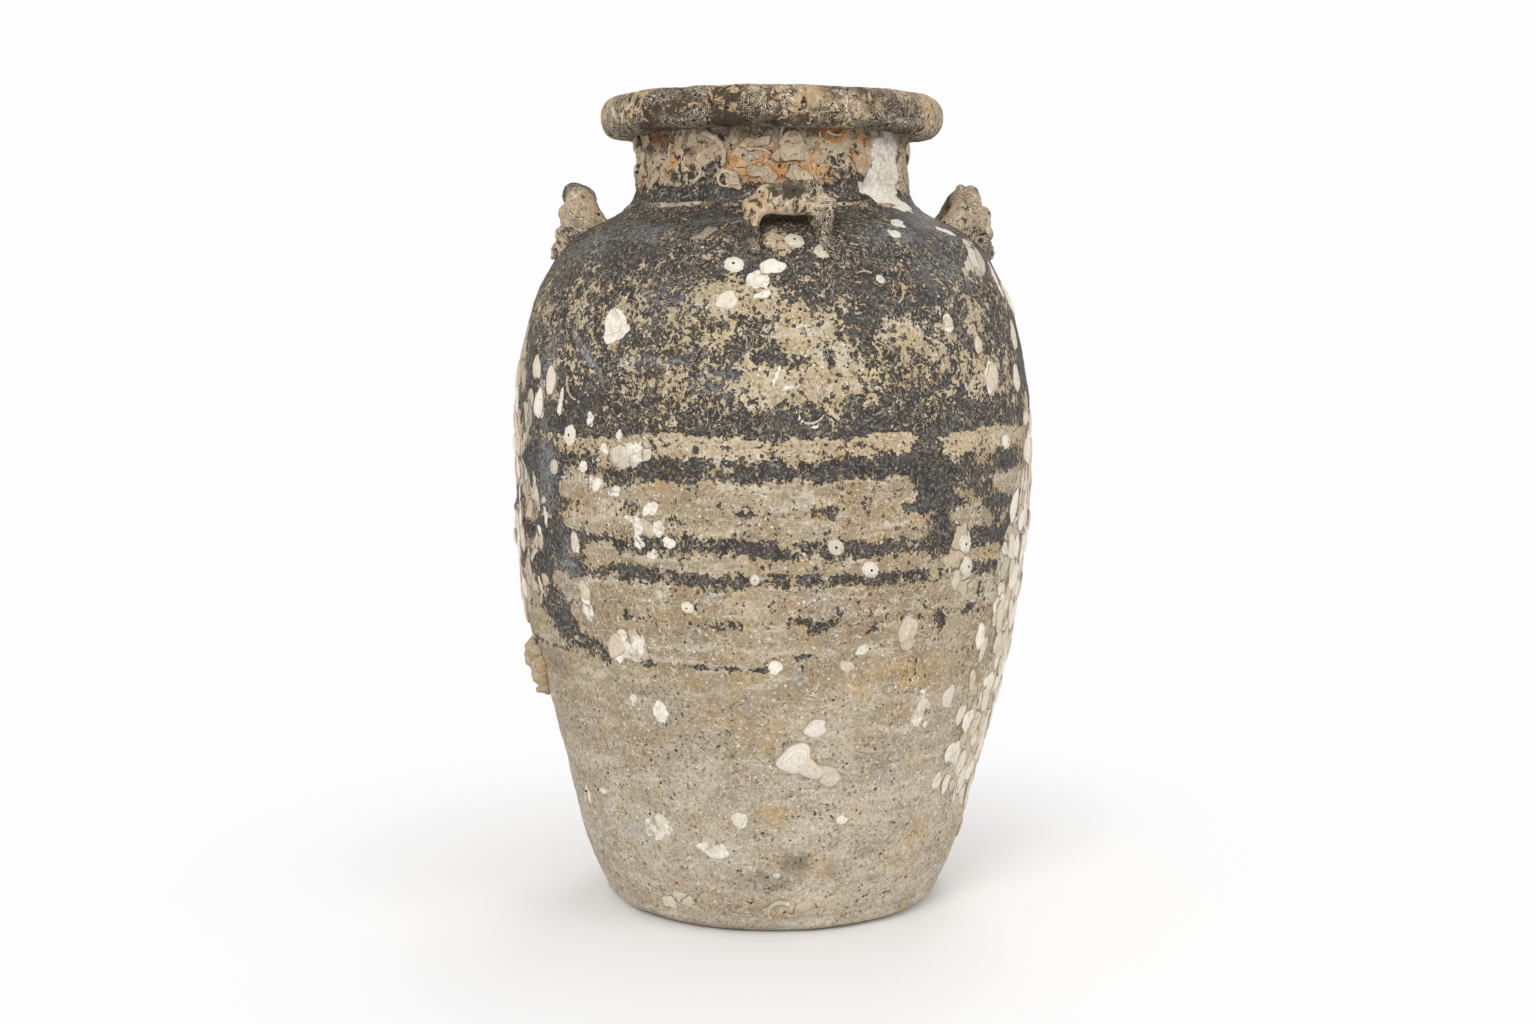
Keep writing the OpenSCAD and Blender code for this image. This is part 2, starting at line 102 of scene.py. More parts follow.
def fade(tree, value, low, high, start=0.0, end=1.0):
    inputs = {0: value, 1: low, 2: high, 3: start, 4: end}
    return put(tree, "ShaderNodeMapRange", inputs, interpolation_type="SMOOTHSTEP").outputs[0]


def mixColour(tree, share, a, b, mode="MIX"):
    item = put(tree, "ShaderNodeMix", data_type="RGBA", blend_type=mode)
    feed(tree, item.inputs[0], share)
    feed(tree, item.inputs[6], a)
    feed(tree, item.inputs[7], b)
    return item.outputs[2]


def noiseOf(tree, place, scale, detail=3.0, rough=0.55, warp=0.0):
    inputs = {"Vector": place, "Scale": scale, "Detail": detail, "Roughness": rough, "Distortion": warp}
    return put(tree, "ShaderNodeTexNoise", inputs).outputs["Fac"]


def cellsOf(tree, place, scale, feature="F1", output="Distance"):
    return put(tree, "ShaderNodeTexVoronoi", {"Vector": place, "Scale": scale}, feature=feature).outputs[output]


def scaled(tree, place, factors):
    return put(tree, "ShaderNodeVectorMath", {0: place, 1: factors}, operation="MULTIPLY").outputs[0]


def moved(tree, place, offset):
    return put(tree, "ShaderNodeVectorMath", {0: place, 1: offset}, operation="ADD").outputs[0]


def newGroup(name, inputs, outputs):
    tree = bpy.data.node_groups.new(name, "ShaderNodeTree")
    kinds = {"colour": "NodeSocketColor", "number": "NodeSocketFloat", "place": "NodeSocketVector"}
    for label, kind, value in inputs:
        socket = tree.interface.new_socket(label, in_out="INPUT", socket_type=kinds[kind])
        if value is not None:
            socket.default_value = (*value, 1) if kind == "colour" else value
    for label, kind in outputs:
        tree.interface.new_socket(label, in_out="OUTPUT", socket_type=kinds[kind])
    return tree, tree.nodes.new("NodeGroupInput").outputs, tree.nodes.new("NodeGroupOutput").inputs


def useGroup(tree, group, values):
    item = tree.nodes.new("ShaderNodeGroup")
    item.node_tree = group
    for key, value in values.items():
        feed(tree, item.inputs[key], value)
    return item.outputs


def makeFloor():
    bm = bmesh.new()
    bmesh.ops.create_circle(bm, cap_ends=True, segments=96, radius=7)
    mesh = bpy.data.meshes.new("floor")
    bm.to_mesh(mesh)
    bm.free()
    floor = bpy.data.objects.new("floor", mesh)
    bpy.context.scene.collection.objects.link(floor)
    material = bpy.data.materials.new("paperFloor")
    material.use_nodes = True
    tree = material.node_tree
    tree.nodes.clear()
    place = put(tree, "ShaderNodeTexCoord").outputs["Object"]
    away = put(tree, "ShaderNodeVectorMath", {0: place}, operation="LENGTH").outputs["Value"]
    rays = put(tree, "ShaderNodeLightPath").outputs
    seen = calc(tree, "MAXIMUM", rays["Is Camera Ray"], rays["Is Glossy Ray"])
    paper = put(tree, "ShaderNodeBsdfDiffuse", {"Color": (0.97, 0.97, 0.975)})
    glow = put(tree, "ShaderNodeEmission", {"Color": (0.985, 0.985, 0.99), "Strength": 1.0})
    share = calc(tree, "MULTIPLY", fade(tree, away, 0.13, 0.55), seen)
    mixed = put(tree, "ShaderNodeMixShader", {0: share, 1: paper.outputs[0], 2: glow.outputs[0]})
    put(tree, "ShaderNodeOutputMaterial", {"Surface": mixed.outputs[0]})
    mesh.materials.append(material)


def makeWorld():
    world = bpy.data.worlds.new("studio")
    world.use_nodes = True
    bpy.context.scene.world = world
    tree = world.node_tree
    tree.nodes.clear()
    rays = put(tree, "ShaderNodeLightPath").outputs
    seen = calc(tree, "MAXIMUM", rays["Is Camera Ray"], rays["Is Transmission Ray"])
    soft = put(tree, "ShaderNodeBackground", {"Color": (1, 1, 1), "Strength": 0.62})
    white = put(tree, "ShaderNodeBackground", {"Color": (0.985, 0.985, 0.99), "Strength": 1.0})
    mixed = put(tree, "ShaderNodeMixShader", {0: seen, 1: soft.outputs[0], 2: white.outputs[0]})
    put(tree, "ShaderNodeOutputWorld", {"Surface": mixed.outputs[0]})


makeCamera()
makeLamp("keyLamp", (-1.2, -2.5, 1.9), 1.6, 42)
makeLamp("fillLamp", (2.2, -1.6, 1.2), 1.8, 18)
makeLamp("backLamp", (0.8, 2.4, 1.9), 1.6, 22)
makeFloor()
makeWorld()
bpy.context.scene.view_settings.view_transform = "Standard"
print("camera, lamps and floor made")


# The jar's turned outline. Lengths here are in millimetres, and a place on the wall is an
# angle in degrees from the front lug towards the right one, and a height.
jar = {
    "gauges": [(0, 117), (4.2, 125.7), (14, 131), (110, 159), (205, 181), (330, 193),
               (420, 186), (466, 171), (502, 141), (515, 115), (550, 99.5), (581, 101.5)],
    "wall": 10,
    "floor": 15,
    "throatR": 89,
    "throatZ": 530,
    "top": 581,
    "heelJoint": 14,
    "lowJoint": 166,
    "highJoint": 346,
    "neckJoint": 519,
    "columns": 640,
    "rowStep": 1.9,
}
gaugeZ = np.array([z for z, r in jar["gauges"]], float)
gaugeR = np.array([r for z, r in jar["gauges"]], float)
gaugeRise = np.diff(gaugeZ)
gaugeChord = np.diff(gaugeR) / gaugeRise
gaugeSlope = np.concatenate((
    gaugeChord[:1],
    (gaugeChord[:-1] * gaugeRise[1:] + gaugeChord[1:] * gaugeRise[:-1]) / (gaugeRise[1:] + gaugeRise[:-1]),
    gaugeChord[-1:],
))


def outerR(z):
    z = np.clip(z, 0, gaugeZ[-1])
    i = np.clip(np.searchsorted(gaugeZ, z, side="right") - 1, 0, len(gaugeRise) - 1)
    t = (z - gaugeZ[i]) / gaugeRise[i]
    return (gaugeR[i] * (2 * t**3 - 3 * t**2 + 1) + gaugeSlope[i] * gaugeRise[i] * (t**3 - 2 * t**2 + t)
            + gaugeR[i + 1] * (3 * t**2 - 2 * t**3) + gaugeSlope[i + 1] * gaugeRise[i] * (t**3 - t**2))


def outNormal(z):  # how far outwards and upwards the wall faces
    lean = outerR(z + 0.5) - outerR(z - 0.5)
    size = np.sqrt(1 + lean * lean)
    return 1 / size, -lean / size


# Repeatable noise for shaping, worked out for many points at once.
def dice(ix, iy, iz, seed):
    h = (ix * 73856093) ^ (iy * 19349663) ^ (iz * 83492791) ^ (seed * 374761393)
    h = ((h ^ (h >> 13)) * 1274126177) & 0x7FFFFFFF
    h = ((h ^ (h >> 15)) * 668265263) & 0x7FFFFFFF
    return h / 0x3FFFFFFF - 1.0


def grain(points, size, seed=0):
    cell = points / size
    low = np.floor(cell).astype(np.int64)
    part = cell - low
    part = part * part * (3 - 2 * part)
    total = np.zeros(len(points))
    for corner in itertools.product((0, 1), repeat=3):
        weight = np.prod(np.where(corner, part, 1 - part), axis=1)
        total += weight * dice(*(low + corner).T, seed)
    return total


def cloud(points, size, seed=0, octaves=3):
    return sum(grain(points, size / 2**k, seed + 11 * k) / 2**k for k in range(octaves)) / (2 - 2.0**(1 - octaves))


def scatter(points, size, seed=0):  # distance to the nearest random spot, and that spot's number
    cell = points / size
    low = np.floor(cell).astype(np.int64)
    best = np.full(len(points), 9.0)
    number = np.zeros(len(points))
    for step in itertools.product((-1, 0, 1), repeat=3):
        near = low + step
        spot = near + 0.5 + 0.45 * np.stack([dice(*near.T, seed + k) for k in (1, 2, 3)], 1)
        gap = np.linalg.norm(spot - cell, axis=1)
        closer = gap < best
        best[closer] = gap[closer]
        number[closer] = dice(*near[closer].T, seed + 7)
    return best, number


def smooth(low, high, value):
    t = np.clip((value - low) / (high - low), 0, 1)
    return t * t * (3 - 2 * t)


def apart(a, b):  # degrees from b round to a, between -180 and 180
    return (a - b + 180) % 360 - 180


def onWall(angle, z, lift=0.0):  # points in millimetres
    outwards, upwards = outNormal(z)
    r = outerR(z) + lift * outwards
    turn = np.radians(angle)
    return np.stack([r * np.sin(turn), -r * np.cos(turn), z + lift * upwards], -1)


def marked(angle, z, marks, rough, edge=0.3):  # how strongly the listed marks cover each point
    total = np.zeros(len(angle))
    for place, height, wide, high, lean, amount in marks:
        along = np.radians(apart(angle, place)) * outerR(height)
        up = (z - height) / outNormal(height)[0]
        near = (np.abs(along) < 1.6 * (wide + high)) & (np.abs(up) < 1.6 * (wide + high))
        c, s = math.cos(math.radians(lean)), math.sin(math.radians(lean))
        a = (along[near] * c + up[near] * s) / wide
        b = (up[near] * c - along[near] * s) / high
        total[near] += amount * smooth(1 + edge, 1 - edge, np.hypot(a, b) + 0.45 * rough[near])
    return total


# Where the dark glaze is kept or worn off: angle, height, half width, half height, lean, amount.
glazeMarks = [
    (-3, 491, 7, 12, 12, -1.4), (9, 486, 6, 5, 0, -0.9), (-12, 454, 28, 14, -10, -0.72), (-18, 458, 16, 8, 20, -0.5), (3.6, 430, 30, 15, -8, -0.79),
    (-9, 405, 38, 8, -4, -0.58), (6, 400, 32, 12, 5, -0.65), (3, 384, 34, 16, 0, -0.65),
    (-8, 389, 26, 10, 0, -0.58), (12, 415, 10, 16, 0, -0.36), (24, 429, 17, 12, 0, -0.58),
    (33, 420, 8, 14, 0, -0.5), (46, 440, 10, 11, 0, -0.65), (50, 398, 15, 16, 0, -0.58),
    (60, 380, 12, 24, 10, -0.5), (68, 464, 12, 24, -20, -0.65), (42, 400, 9, 14, 0, -0.36),
    (-37, 468, 12, 9, 0, -0.36), (-40, 436, 10, 14, -20, -0.72), (-28, 374, 18, 6, 0, -0.29),
    (-58, 396, 9, 14, 0, -0.58), (-63, 379, 8, 16, 0, -0.43), (-70, 350, 10, 20, 0, -0.36),
    (30, 340, 16, 20, 0, 1.1), (31, 315, 17, 22, -14, 1.1), (33, 292, 13, 16, -10, 0.9),
    (38, 330, 16, 8, 0, 0.9), (46, 318, 16, 14, 0, 1.1), (52, 297, 10, 18, 0, 0.9),
    (44, 287, 16, 6, 0, 1.2), (58, 285, 12, 20, 0, 1.4), (60, 262, 9, 20, 0, 1.2),
    (35, 232, 6, 9, 0, 0.9), (47, 250, 5, 14, 10, 0.9), (28, 238, 9, 3, -30, 0.8),
    (6, 233, 9, 5, 25, 0.9), (9, 240, 6, 3, 40, 0.8), (18, 232, 8, 3, 30, 0.7),
    (-62, 335, 26, 24, 0, 1.4), (-58, 300, 20, 22, 10, 1.3), (-52, 275, 18, 16, 0, 1.0),
    (-66, 268, 18, 22, 0, 1.3), (-60, 236, 17, 16, 0, 1.2), (-47, 208, 16, 10, -15, 1.2),
    (-56, 218, 18, 14, 0, 1.2), (-78, 300, 26, 60, 0, 0.9), (-86, 250, 20, 40, 0, 0.8),
    (-38, 330, 10, 6, 0, 0.6), (-35, 310, 12, 6, -12, 0.8), (-43.5, 304, 10, 8, 0, -2.0),
    (-42.6, 281, 13, 7, 0, -2.0), (-36, 347, 16, 10, 10, -0.86), (-14, 204, 26, 1.8, -2, 1.5),
    (2, 213, 9, 2.2, 8, 1.5), (6, 233, 10, 2.2, 12, 1.2), (34.7, 232, 7, 3, -30, 1.4),
    (44, 238, 10, 3, 20, 1.2), (-70, 360, 14, 40, 0, 0.8), (-64, 250, 10, 34, 0, 0.6),
    (100, 330, 40, 30, 0, 1.2), (118, 280, 26, 34, 0, 1.1), (150, 318, 40, 14, 0, 1.0),
    (176, 290, 30, 26, 10, 1.1), (-160, 330, 44, 16, 0, 1.1), (-138, 268, 22, 40, -8, 1.1),
    (-110, 330, 30, 24, 0, 1.0), (130, 430, 40, 26, 10, -0.79), (158, 400, 30, 22, -12, -0.65),
    (-170, 442, 24, 16, 0, -0.65), (-148, 400, 36, 18, 6, -0.72), (-118, 424, 20, 26, 0, -0.65),
    (100, 404, 18, 26, 0, -0.58), (86, 430, 16, 14, 0, -0.5), (-96, 446, 20, 12, 0, -0.5),
]
# Rings of glaze below the dark zone: height, half thickness, strength, how broken.
glazeRings = [(340, 8.5, 1.75, 0.35), (312, 4.5, 1.25, 0.95), (287, 6.5, 1.75, 0.35),
              (267, 5.5, 1.6, 0.55), (205, 2.4, 1.0, 0.95), (236, 3.5, 0.75, 1.0)]
whiteMarks = [
    (-39.7, 437, 9, 12, 25, 1.0), (-41, 428, 7, 8, 0, 0.9), (-7.7, 466, 8, 7, 30, 1.0),
    (-6.5, 456, 6, 3, 20, 0.9), (50, 399, 9, 11, 0, 0.8), (37, 437, 5, 6, 0, 0.9),
    (68, 468, 6, 16, -20, 0.8), (51, 559, 17, 12, 4, 1.7), (51, 541, 19, 14, 0, 1.7),
    (47, 525, 22, 10, -20, 1.5), (-3.5, 402, 1.2, 8, -20, 1.0), (-1, 395, 6, 1.2, 20, 1.0),
    (1, 376, 1.2, 7, 30, 1.0), (4, 369, 4, 1.2, -20, 1.0), (-66, 90, 4, 8, 10, 0.8), (-56, 98, 7, 2.2, 8, 0.8),
    (-31, 169, 7, 8, 0, 0.6), (-37, 172, 5, 10, 10, 0.5), (5.5, 160, 8, 7, 30, 0.7),
    (-13, 92, 6, 6, 40, 0.8), (14, 90, 5, 4, 0, 0.7), (-3, 50, 3, 3, 0, 0.8),
    (-20, 68, 12, 7, -10, 0.6), (-36, 78, 13, 10, 10, 0.55), (-33, 350, 12, 7, 10, 0.5),
    (33, 165, 10, 18, 10, 0.5), (-48, 236, 6, 10, 0, 0.5), (-36, 216, 12, 9, -20, 0.55),
    (-3.5, 206, 5, 5, 0, 0.7), (15.3, 217, 5, 4, 20, 0.8), (-44.7, 371, 4, 6.5, 0, 0.6),
    (-54.3, 382, 2.4, 9, -5, 0.9), (-46.4, 339, 4, 4, 0, 0.8), (-42.4, 327, 9, 6, 0, 0.55),
    (-50, 285, 3.5, 8, 10, 0.9), (-48.2, 251, 5, 7.5, 10, 0.95), (-40.5, 213, 9, 11, 0, 0.7),
    (-38, 322, 6, 4, 30, 0.6), (-33.5, 303, 8, 5, -30, 0.65), (-27.5, 299, 5, 7, 20, 0.6),
    (-29, 282, 6, 5, 0, 0.6), (-36.5, 361, 5, 5, 0, 0.6), (-40.5, 352, 6, 5, 0, 0.55),
    (-29.3, 313, 7, 5, 40, 0.7), (-31.9, 291, 6, 8, 0, 0.6), (-25.7, 290, 5, 4, 0, 0.85),
    (-62, 379, 4, 12, -4, 0.6), (-60, 300, 4, 9, 0, 0.5), (-66, 318, 4, 14, 0, 0.5),
    (56, 500, 10, 5, -30, 0.7), (36, 505, 6, 9, -50, 0.8), (30, 497, 5, 6, -40, 0.7),
    (120, 470, 12, 9, 10, 0.8), (168, 424, 9, 13, 0, 0.8), (-125, 380, 12, 8, 0, 0.7),
    (140, 210, 16, 8, 10, 0.6), (-170, 140, 20, 12, 0, 0.5), (-120, 90, 18, 9, 0, 0.6),
    (-150, 540, 8, 14, 10, 1.0), (120, 545, 8, 11, -10, 0.9),
]
rustMarks = [
    (-2, 546, 16, 12, 5, 1.2), (-13, 536, 13, 7, 0, 1.1), (8, 552, 9, 6, 0, 0.7),
    (20, 570, 16, 6, -4, 1.3), (36, 566, 8, 6, 0, 0.8), (33, 548, 4, 10, 10, 0.8),
    (-20, 548, 10, 5, 0, 0.6), (-72, 538, 5, 6, 20, 0.8), (-50, 552, 9, 8, 0, 0.4),
    (-85, 566, 14, 6, 0, 0.7), (-60, 566, 20, 5, 0, 0.6), (14, 538, 12, 8, 0, 0.6),
    (100, 548, 22, 10, 0, 0.8), (150, 540, 18, 9, 10, 0.9), (-150, 556, 20, 8, 0, 0.8),
    (-110, 540, 14, 10, 0, 0.7), (180, 560, 16, 6, 0, 0.8),
]
hazeMarks = [
    (-48, 417, 26, 3.2, -42, 1.0), (-30, 412, 24, 3, -4, 0.8), (-45, 74, 9, 4, -20, 1.4),
    (-60, 487, 26, 16, 0, 0.35), (-40, 497, 26, 10, -10, 0.35), (-20, 506, 22, 5, 0, 0.3),
    (1.3, 199, 4, 7, 0, 0.8), (-14, 398, 20, 8, 0, 0.4), (40, 470, 30, 18, 0, 0.25),
    (-26, 452, 24, 16, 0, 0.3), (28, 495, 26, 10, 10, 0.4), (130, 470, 40, 16, 0, 0.4),
    (-140, 480, 40, 14, 0, 0.4), (170, 380, 30, 10, 20, 0.5),
    (-60, 405, 12, 22, 0, 0.5), (-59, 335, 12, 26, 0, 0.55), (-53, 262, 11, 22, -10, 0.5),
]
ochreMarks = [
    (28, 197, 26, 11, 0, 1.4), (-2, 89, 10, 14, 0, 0.5), (18, 92, 10, 6, 0, 0.4),
    (-22, 243, 14, 6, 0, 0.6), (5, 236, 14, 5, 0, 0.4), (-28, 330, 16, 9, 0, 0.5),
    (40, 60, 18, 20, -30, 0.6), (2, 24, 26, 7, 0, 0.7), (-34, 20, 26, 7, 0, 0.5),
    (60, 120, 14, 30, 0, 0.5), (-54, 310, 14, 10, 0, 0.5), (-20, 460, 14, 8, 0, 0.7),
    (120, 120, 30, 24, 0, 0.5), (-150, 60, 40, 14, 0, 0.5), (160, 200, 30, 14, 0, 0.5),
]
# Dark stains, with painted shade in the front lug's eye and in bands just under the rim roll: angle, height, half
# width, half height, lean, amount.
stainAndShadeMarks = [
    (1.5, 509, 13, 5, 0, 1.2), (-6, 44, 18, 9, 10, 0.6), (2.5, 60, 12, 8, 0, 0.8), (14, 54, 12, 10, 0, 0.4),
    (-64, 190, 18, 9, 0, 0.5), (0, 568, 60, 5, 0, 0.5), (-60, 562, 30, 8, 0, 0.7),
    (60, 566, 40, 4, 0, 0.5), (30, 540, 16, 10, 0, 0.5), (140, 566, 80, 5, 0, 0.5),
    (-140, 566, 80, 5, 0, 0.5), (-30, 150, 26, 12, 0, 0.25), (22, 130, 30, 16, 0, 0.25),
]
# Lumps and hollows pressed into the wall: the amount is in millimetres.
reliefMarks = [
    (-84, 250, 60, 52, 0, 3.0), (-60, 330, 40, 44, 0, 1.2), (-36, 216, 14, 12, -20, 1.0),
    (-33, 350, 13, 8, 10, 0.8), (-7.7, 267, 4, 3, 0, 1.8), (1.3, 199, 3.5, 6, 0, 0.9),
    (-36, 78, 15, 12, 10, 0.9), (-20, 68, 12, 8, -10, 0.8), (2, 22, 14, 6, 20, 1.2),
    (-40, 437, 10, 13, 25, -0.8), (-48, 417, 26, 3, -42, -0.9), (59, 545, 8, 22, 0, -0.9),
    (-17, 505, 26, 7, 0, 0.6), (-4, 474, 10, 7, 0, 1.1), (1.2, 491, 6, 5, 0, 1.2),
    (20, 545, 20, 12, 0, 0.9), (-30, 545, 26, 12, 0, 0.7), (-78, 550, 30, 18, 0, 1.4),
    (75, 200, 50, 80, 0, 1.2), (84, 330, 50, 60, 0, 1.4), (40, 20, 20, 6, 0, 0.9),
    (-34, 14, 26, 7, 0, 0.9), (140, 120, 60, 50, 0, 1.2), (-140, 300, 50, 50, 0, 1.4),
]


def wallRelief(points, angle, z, coverage):  # millimetres outwards: the broad form, and the surface on it
    dark = smooth(-0.2, 0.4, coverage)
    upper = smooth(340, 380, z)
    onNeck = smooth(518, 534, z)
    turned = np.sin(z / 2.1 + 2.2 * grain(points, 70, 5)) * 0.12 * smooth(20, 50, z) * (1 - upper)
    turned += np.sin(z / 5.9 + 2.6 * grain(points, 120, 6)) * 0.22 * smooth(20, 50, z) * (1 - onNeck)
    broad = turned + 1.0 * cloud(points, 95, 1, 2) + (1 - smooth(2, 26, z)) * (1.0 * cloud(points, 24, 14, 2) - 0.5)
    broad += marked(angle, z, reliefMarks, cloud(points, 9, 9, 2))
    lumps = 0.55 * cloud(points, 18, 2, 3)
    crust = dark * (0.34 * cloud(points, 6.5, 3, 2) + 0.2 * np.abs(grain(points, 4.4, 4)))
    crust += (1 - dark) * 0.2 * cloud(points, 7, 8, 2)
    ridge = smooth(0.16, 0.0, np.abs(grain(points, 15, 15))) * smooth(-0.1, 0.3, grain(points, 22, 16))
    neck = onNeck * (1.3 * cloud(points, 15, 12, 3) + 0.8 * np.abs(grain(points, 6, 13)) + 1.4 * ridge)
    gap, number = scatter(points, 16, 21)
    pits = -1.1 * smooth(0.14, 0.06, gap) * (number > 0.35)
    pebbles = 0.6 * smooth(0.2, 0.05, gap) * (number < -0.45)
    return broad, lumps + crust + neck + (pits + pebbles) * (1 - upper * 0.5)


# Colonies of old shell: the middle's angle and height, half the angle, half the height, and how full.
colonies = [(84, 208, 32, 162, 1.0), (-92, 312, 26, 112, 0.6), (157, 128, 22, 58, 1.0), (-152, 291, 17, 48, 1.0)]


def inColony(angle, z, colony):  # 0 in the middle and 1 at the edge
    return (np.abs(apart(angle, colony[0]) / colony[2]) ** 2.6 + np.abs((z - colony[1]) / colony[3]) ** 2.6) ** (1 / 2.6)


def flankShells(points, angle, z):  # where old shell covers the wall
    ragged = 0.28 * grain(points, 34, 91) + 0.16 * grain(points, 12, 92)
    wide = sum(colony[4] * smooth(1.06, 0.9, inColony(angle, z, colony) + ragged) for colony in colonies)
    small = marked(angle, z, [(-34, 349, 16, 9, 10, 0.9), (-30, 305, 14, 12, 0, 0.8), (-36, 216, 15, 11, -20, 0.9),
                              (-34, 78, 16, 12, 10, 0.7), (-20, 68, 14, 8, -10, 0.7), (38, 284, 15, 13, 0, 0.8),
                              (40, 262, 12, 14, 0, 0.7), (33, 166, 10, 16, 0, 0.8), (0, 22, 16, 8, 10, 0.7),
                              (-34, 22, 16, 10, 0, 0.7), (26, 228, 9, 14, 0, 0.6), (58, 480, 26, 14, 30, 0.7)],
                   cloud(points, 9, 93, 2))
    return np.clip(wide + small, 0, 1)


def glazeCover(points, angle, z):
    wide = cloud(points, 70, 31, 2)
    edge = 361 + 4 * grain(points, 30, 32) + 2 * grain(points, 9, 33)
    bare = -1.1 + 0.3 * smooth(200, 262, z) + 0.2 * smooth(338, 350, z)
    cover = np.where(z > edge, 0.75, bare)
    worn = smooth(376, 392, z) * smooth(478, 455, z)  # the middle of the dark zone is worn most
    cover -= worn * (0.42 + 0.5 * cloud(points, 45, 36, 3)) * (z > edge)
    for height, half, strength, broken in glazeRings:
        breaks = grain(points * (1, 1, 0.2), 22, int(height)) + 0.6 * grain(points, 7, int(height) + 1)
        shift = 2.0 * grain(points * (1, 1, 0), 60, int(height) + 2)
        ring = np.exp(-(((z - height - shift) / half) ** 2) ** 1.4)
        cover += ring * strength * np.clip(1 - broken * (0.55 + 1.2 * breaks), 0, 1.2)
    cover += 0.3 * wide * (z > edge - 6)
    cover += marked(angle, z, glazeMarks, cloud(points, 12, 34, 3), edge=0.5)
    foot = 532 + 5 * grain(points, 18, 35) + 3 * grain(points, 6, 36)
    cover -= 1.4 * smooth(foot - 6, foot + 4, z)
    for place, wide in ((30, 13), (-30, 9), (172, 26), (-120, 20), (100, 16)):
        cover += 0.65 * np.exp(-((apart(angle, place) / wide) ** 2)) * smooth(526, 534, z) * smooth(560, 542, z)
    return cover


def keepColours(mesh, name, columns):
    layer = mesh.color_attributes.new(name, "FLOAT_COLOR", "POINT")
    layer.data.foreach_set("color", np.stack(columns, 1).astype(np.float32).ravel())


def readPoints(mesh):
    flat = np.empty(len(mesh.vertices) * 3, np.float32)
    mesh.vertices.foreach_get("co", flat)
    return flat.reshape(-1, 3).astype(float) / mm


def writePoints(mesh, points):
    mesh.vertices.foreach_set("co", (points * mm).astype(np.float32).ravel())
    mesh.update()


def polar(points):
    return np.degrees(np.arctan2(points[:, 0], -points[:, 1])), np.hypot(points[:, 0], points[:, 1])


def outerLine(low, high, step=None):
    line, z = [], low
    while z < high - 0.3:
        line.append((float(outerR(z)), z))
        z += max(0.25, (step or jar["rowStep"]) * float(outNormal(z)[0]))
    return line + [(float(outerR(high)), high)]


innerZ, innerR = [], []
for z in np.arange(20, 560, 3.0):
    outwards, upwards = outNormal(z)
    height, radius = z - jar["wall"] * upwards, outerR(z) - jar["wall"] * outwards
    if height < jar["throatZ"] - 2 and radius > jar["throatR"]:
        innerZ.append(float(height))
        innerR.append(float(radius))


def innerLine(low, high, step=9.0):
    heights = np.linspace(high, low, max(2, int((high - low) / step)))
    return [(float(np.interp(z, innerZ, innerR)), float(z)) for z in heights]


def turnMesh(name, outline, columns, closed=True):  # spins an outline in millimetres round the axis
    sectors = 8
    bm = bmesh.new()
    verts = [bm.verts.new((0, -r * mm, z * mm)) for r, z in outline]
    for a, b in zip(verts, verts[1:]):
        bm.edges.new((a, b))
    if closed:
        bm.edges.new((verts[-1], verts[0]))
    bmesh.ops.spin(bm, geom=bm.verts[:] + bm.edges[:], cent=(0, 0, 0), axis=(0, 0, 1), dvec=(0, 0, 0),
                   angle=math.tau / sectors, steps=columns // sectors, use_merge=False, use_duplicate=False)
    sector = bpy.data.meshes.new(name)
    bm.to_mesh(sector)
    bm.clear()
    for _ in range(sectors):
        sector.transform(Matrix.Rotation(math.tau / sectors, 4, "Z"))
        bm.from_mesh(sector)
    bmesh.ops.remove_doubles(bm, verts=bm.verts[:], dist=0.00002)
    bmesh.ops.recalc_face_normals(bm, faces=bm.faces[:])
    mesh = bpy.data.meshes.new(name)
    bm.to_mesh(mesh)
    bm.free()
    bpy.data.meshes.remove(sector)
    return mesh


def addPiece(name, mesh, material, nodes):
    piece = bpy.data.objects.new(name, mesh)
    bpy.context.scene.collection.objects.link(piece)
    mesh.materials.clear()
    mesh.materials.append(material)
    mesh.polygons.foreach_set("use_smooth", np.ones(len(mesh.polygons), bool))
    mesh.set_sharp_from_angle(angle=math.radians(65))
    mesh.update()
    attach(piece, "root")
    if nodes:
        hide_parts(*nodes)
    print(name, len(mesh.vertices), "points")
    return piece


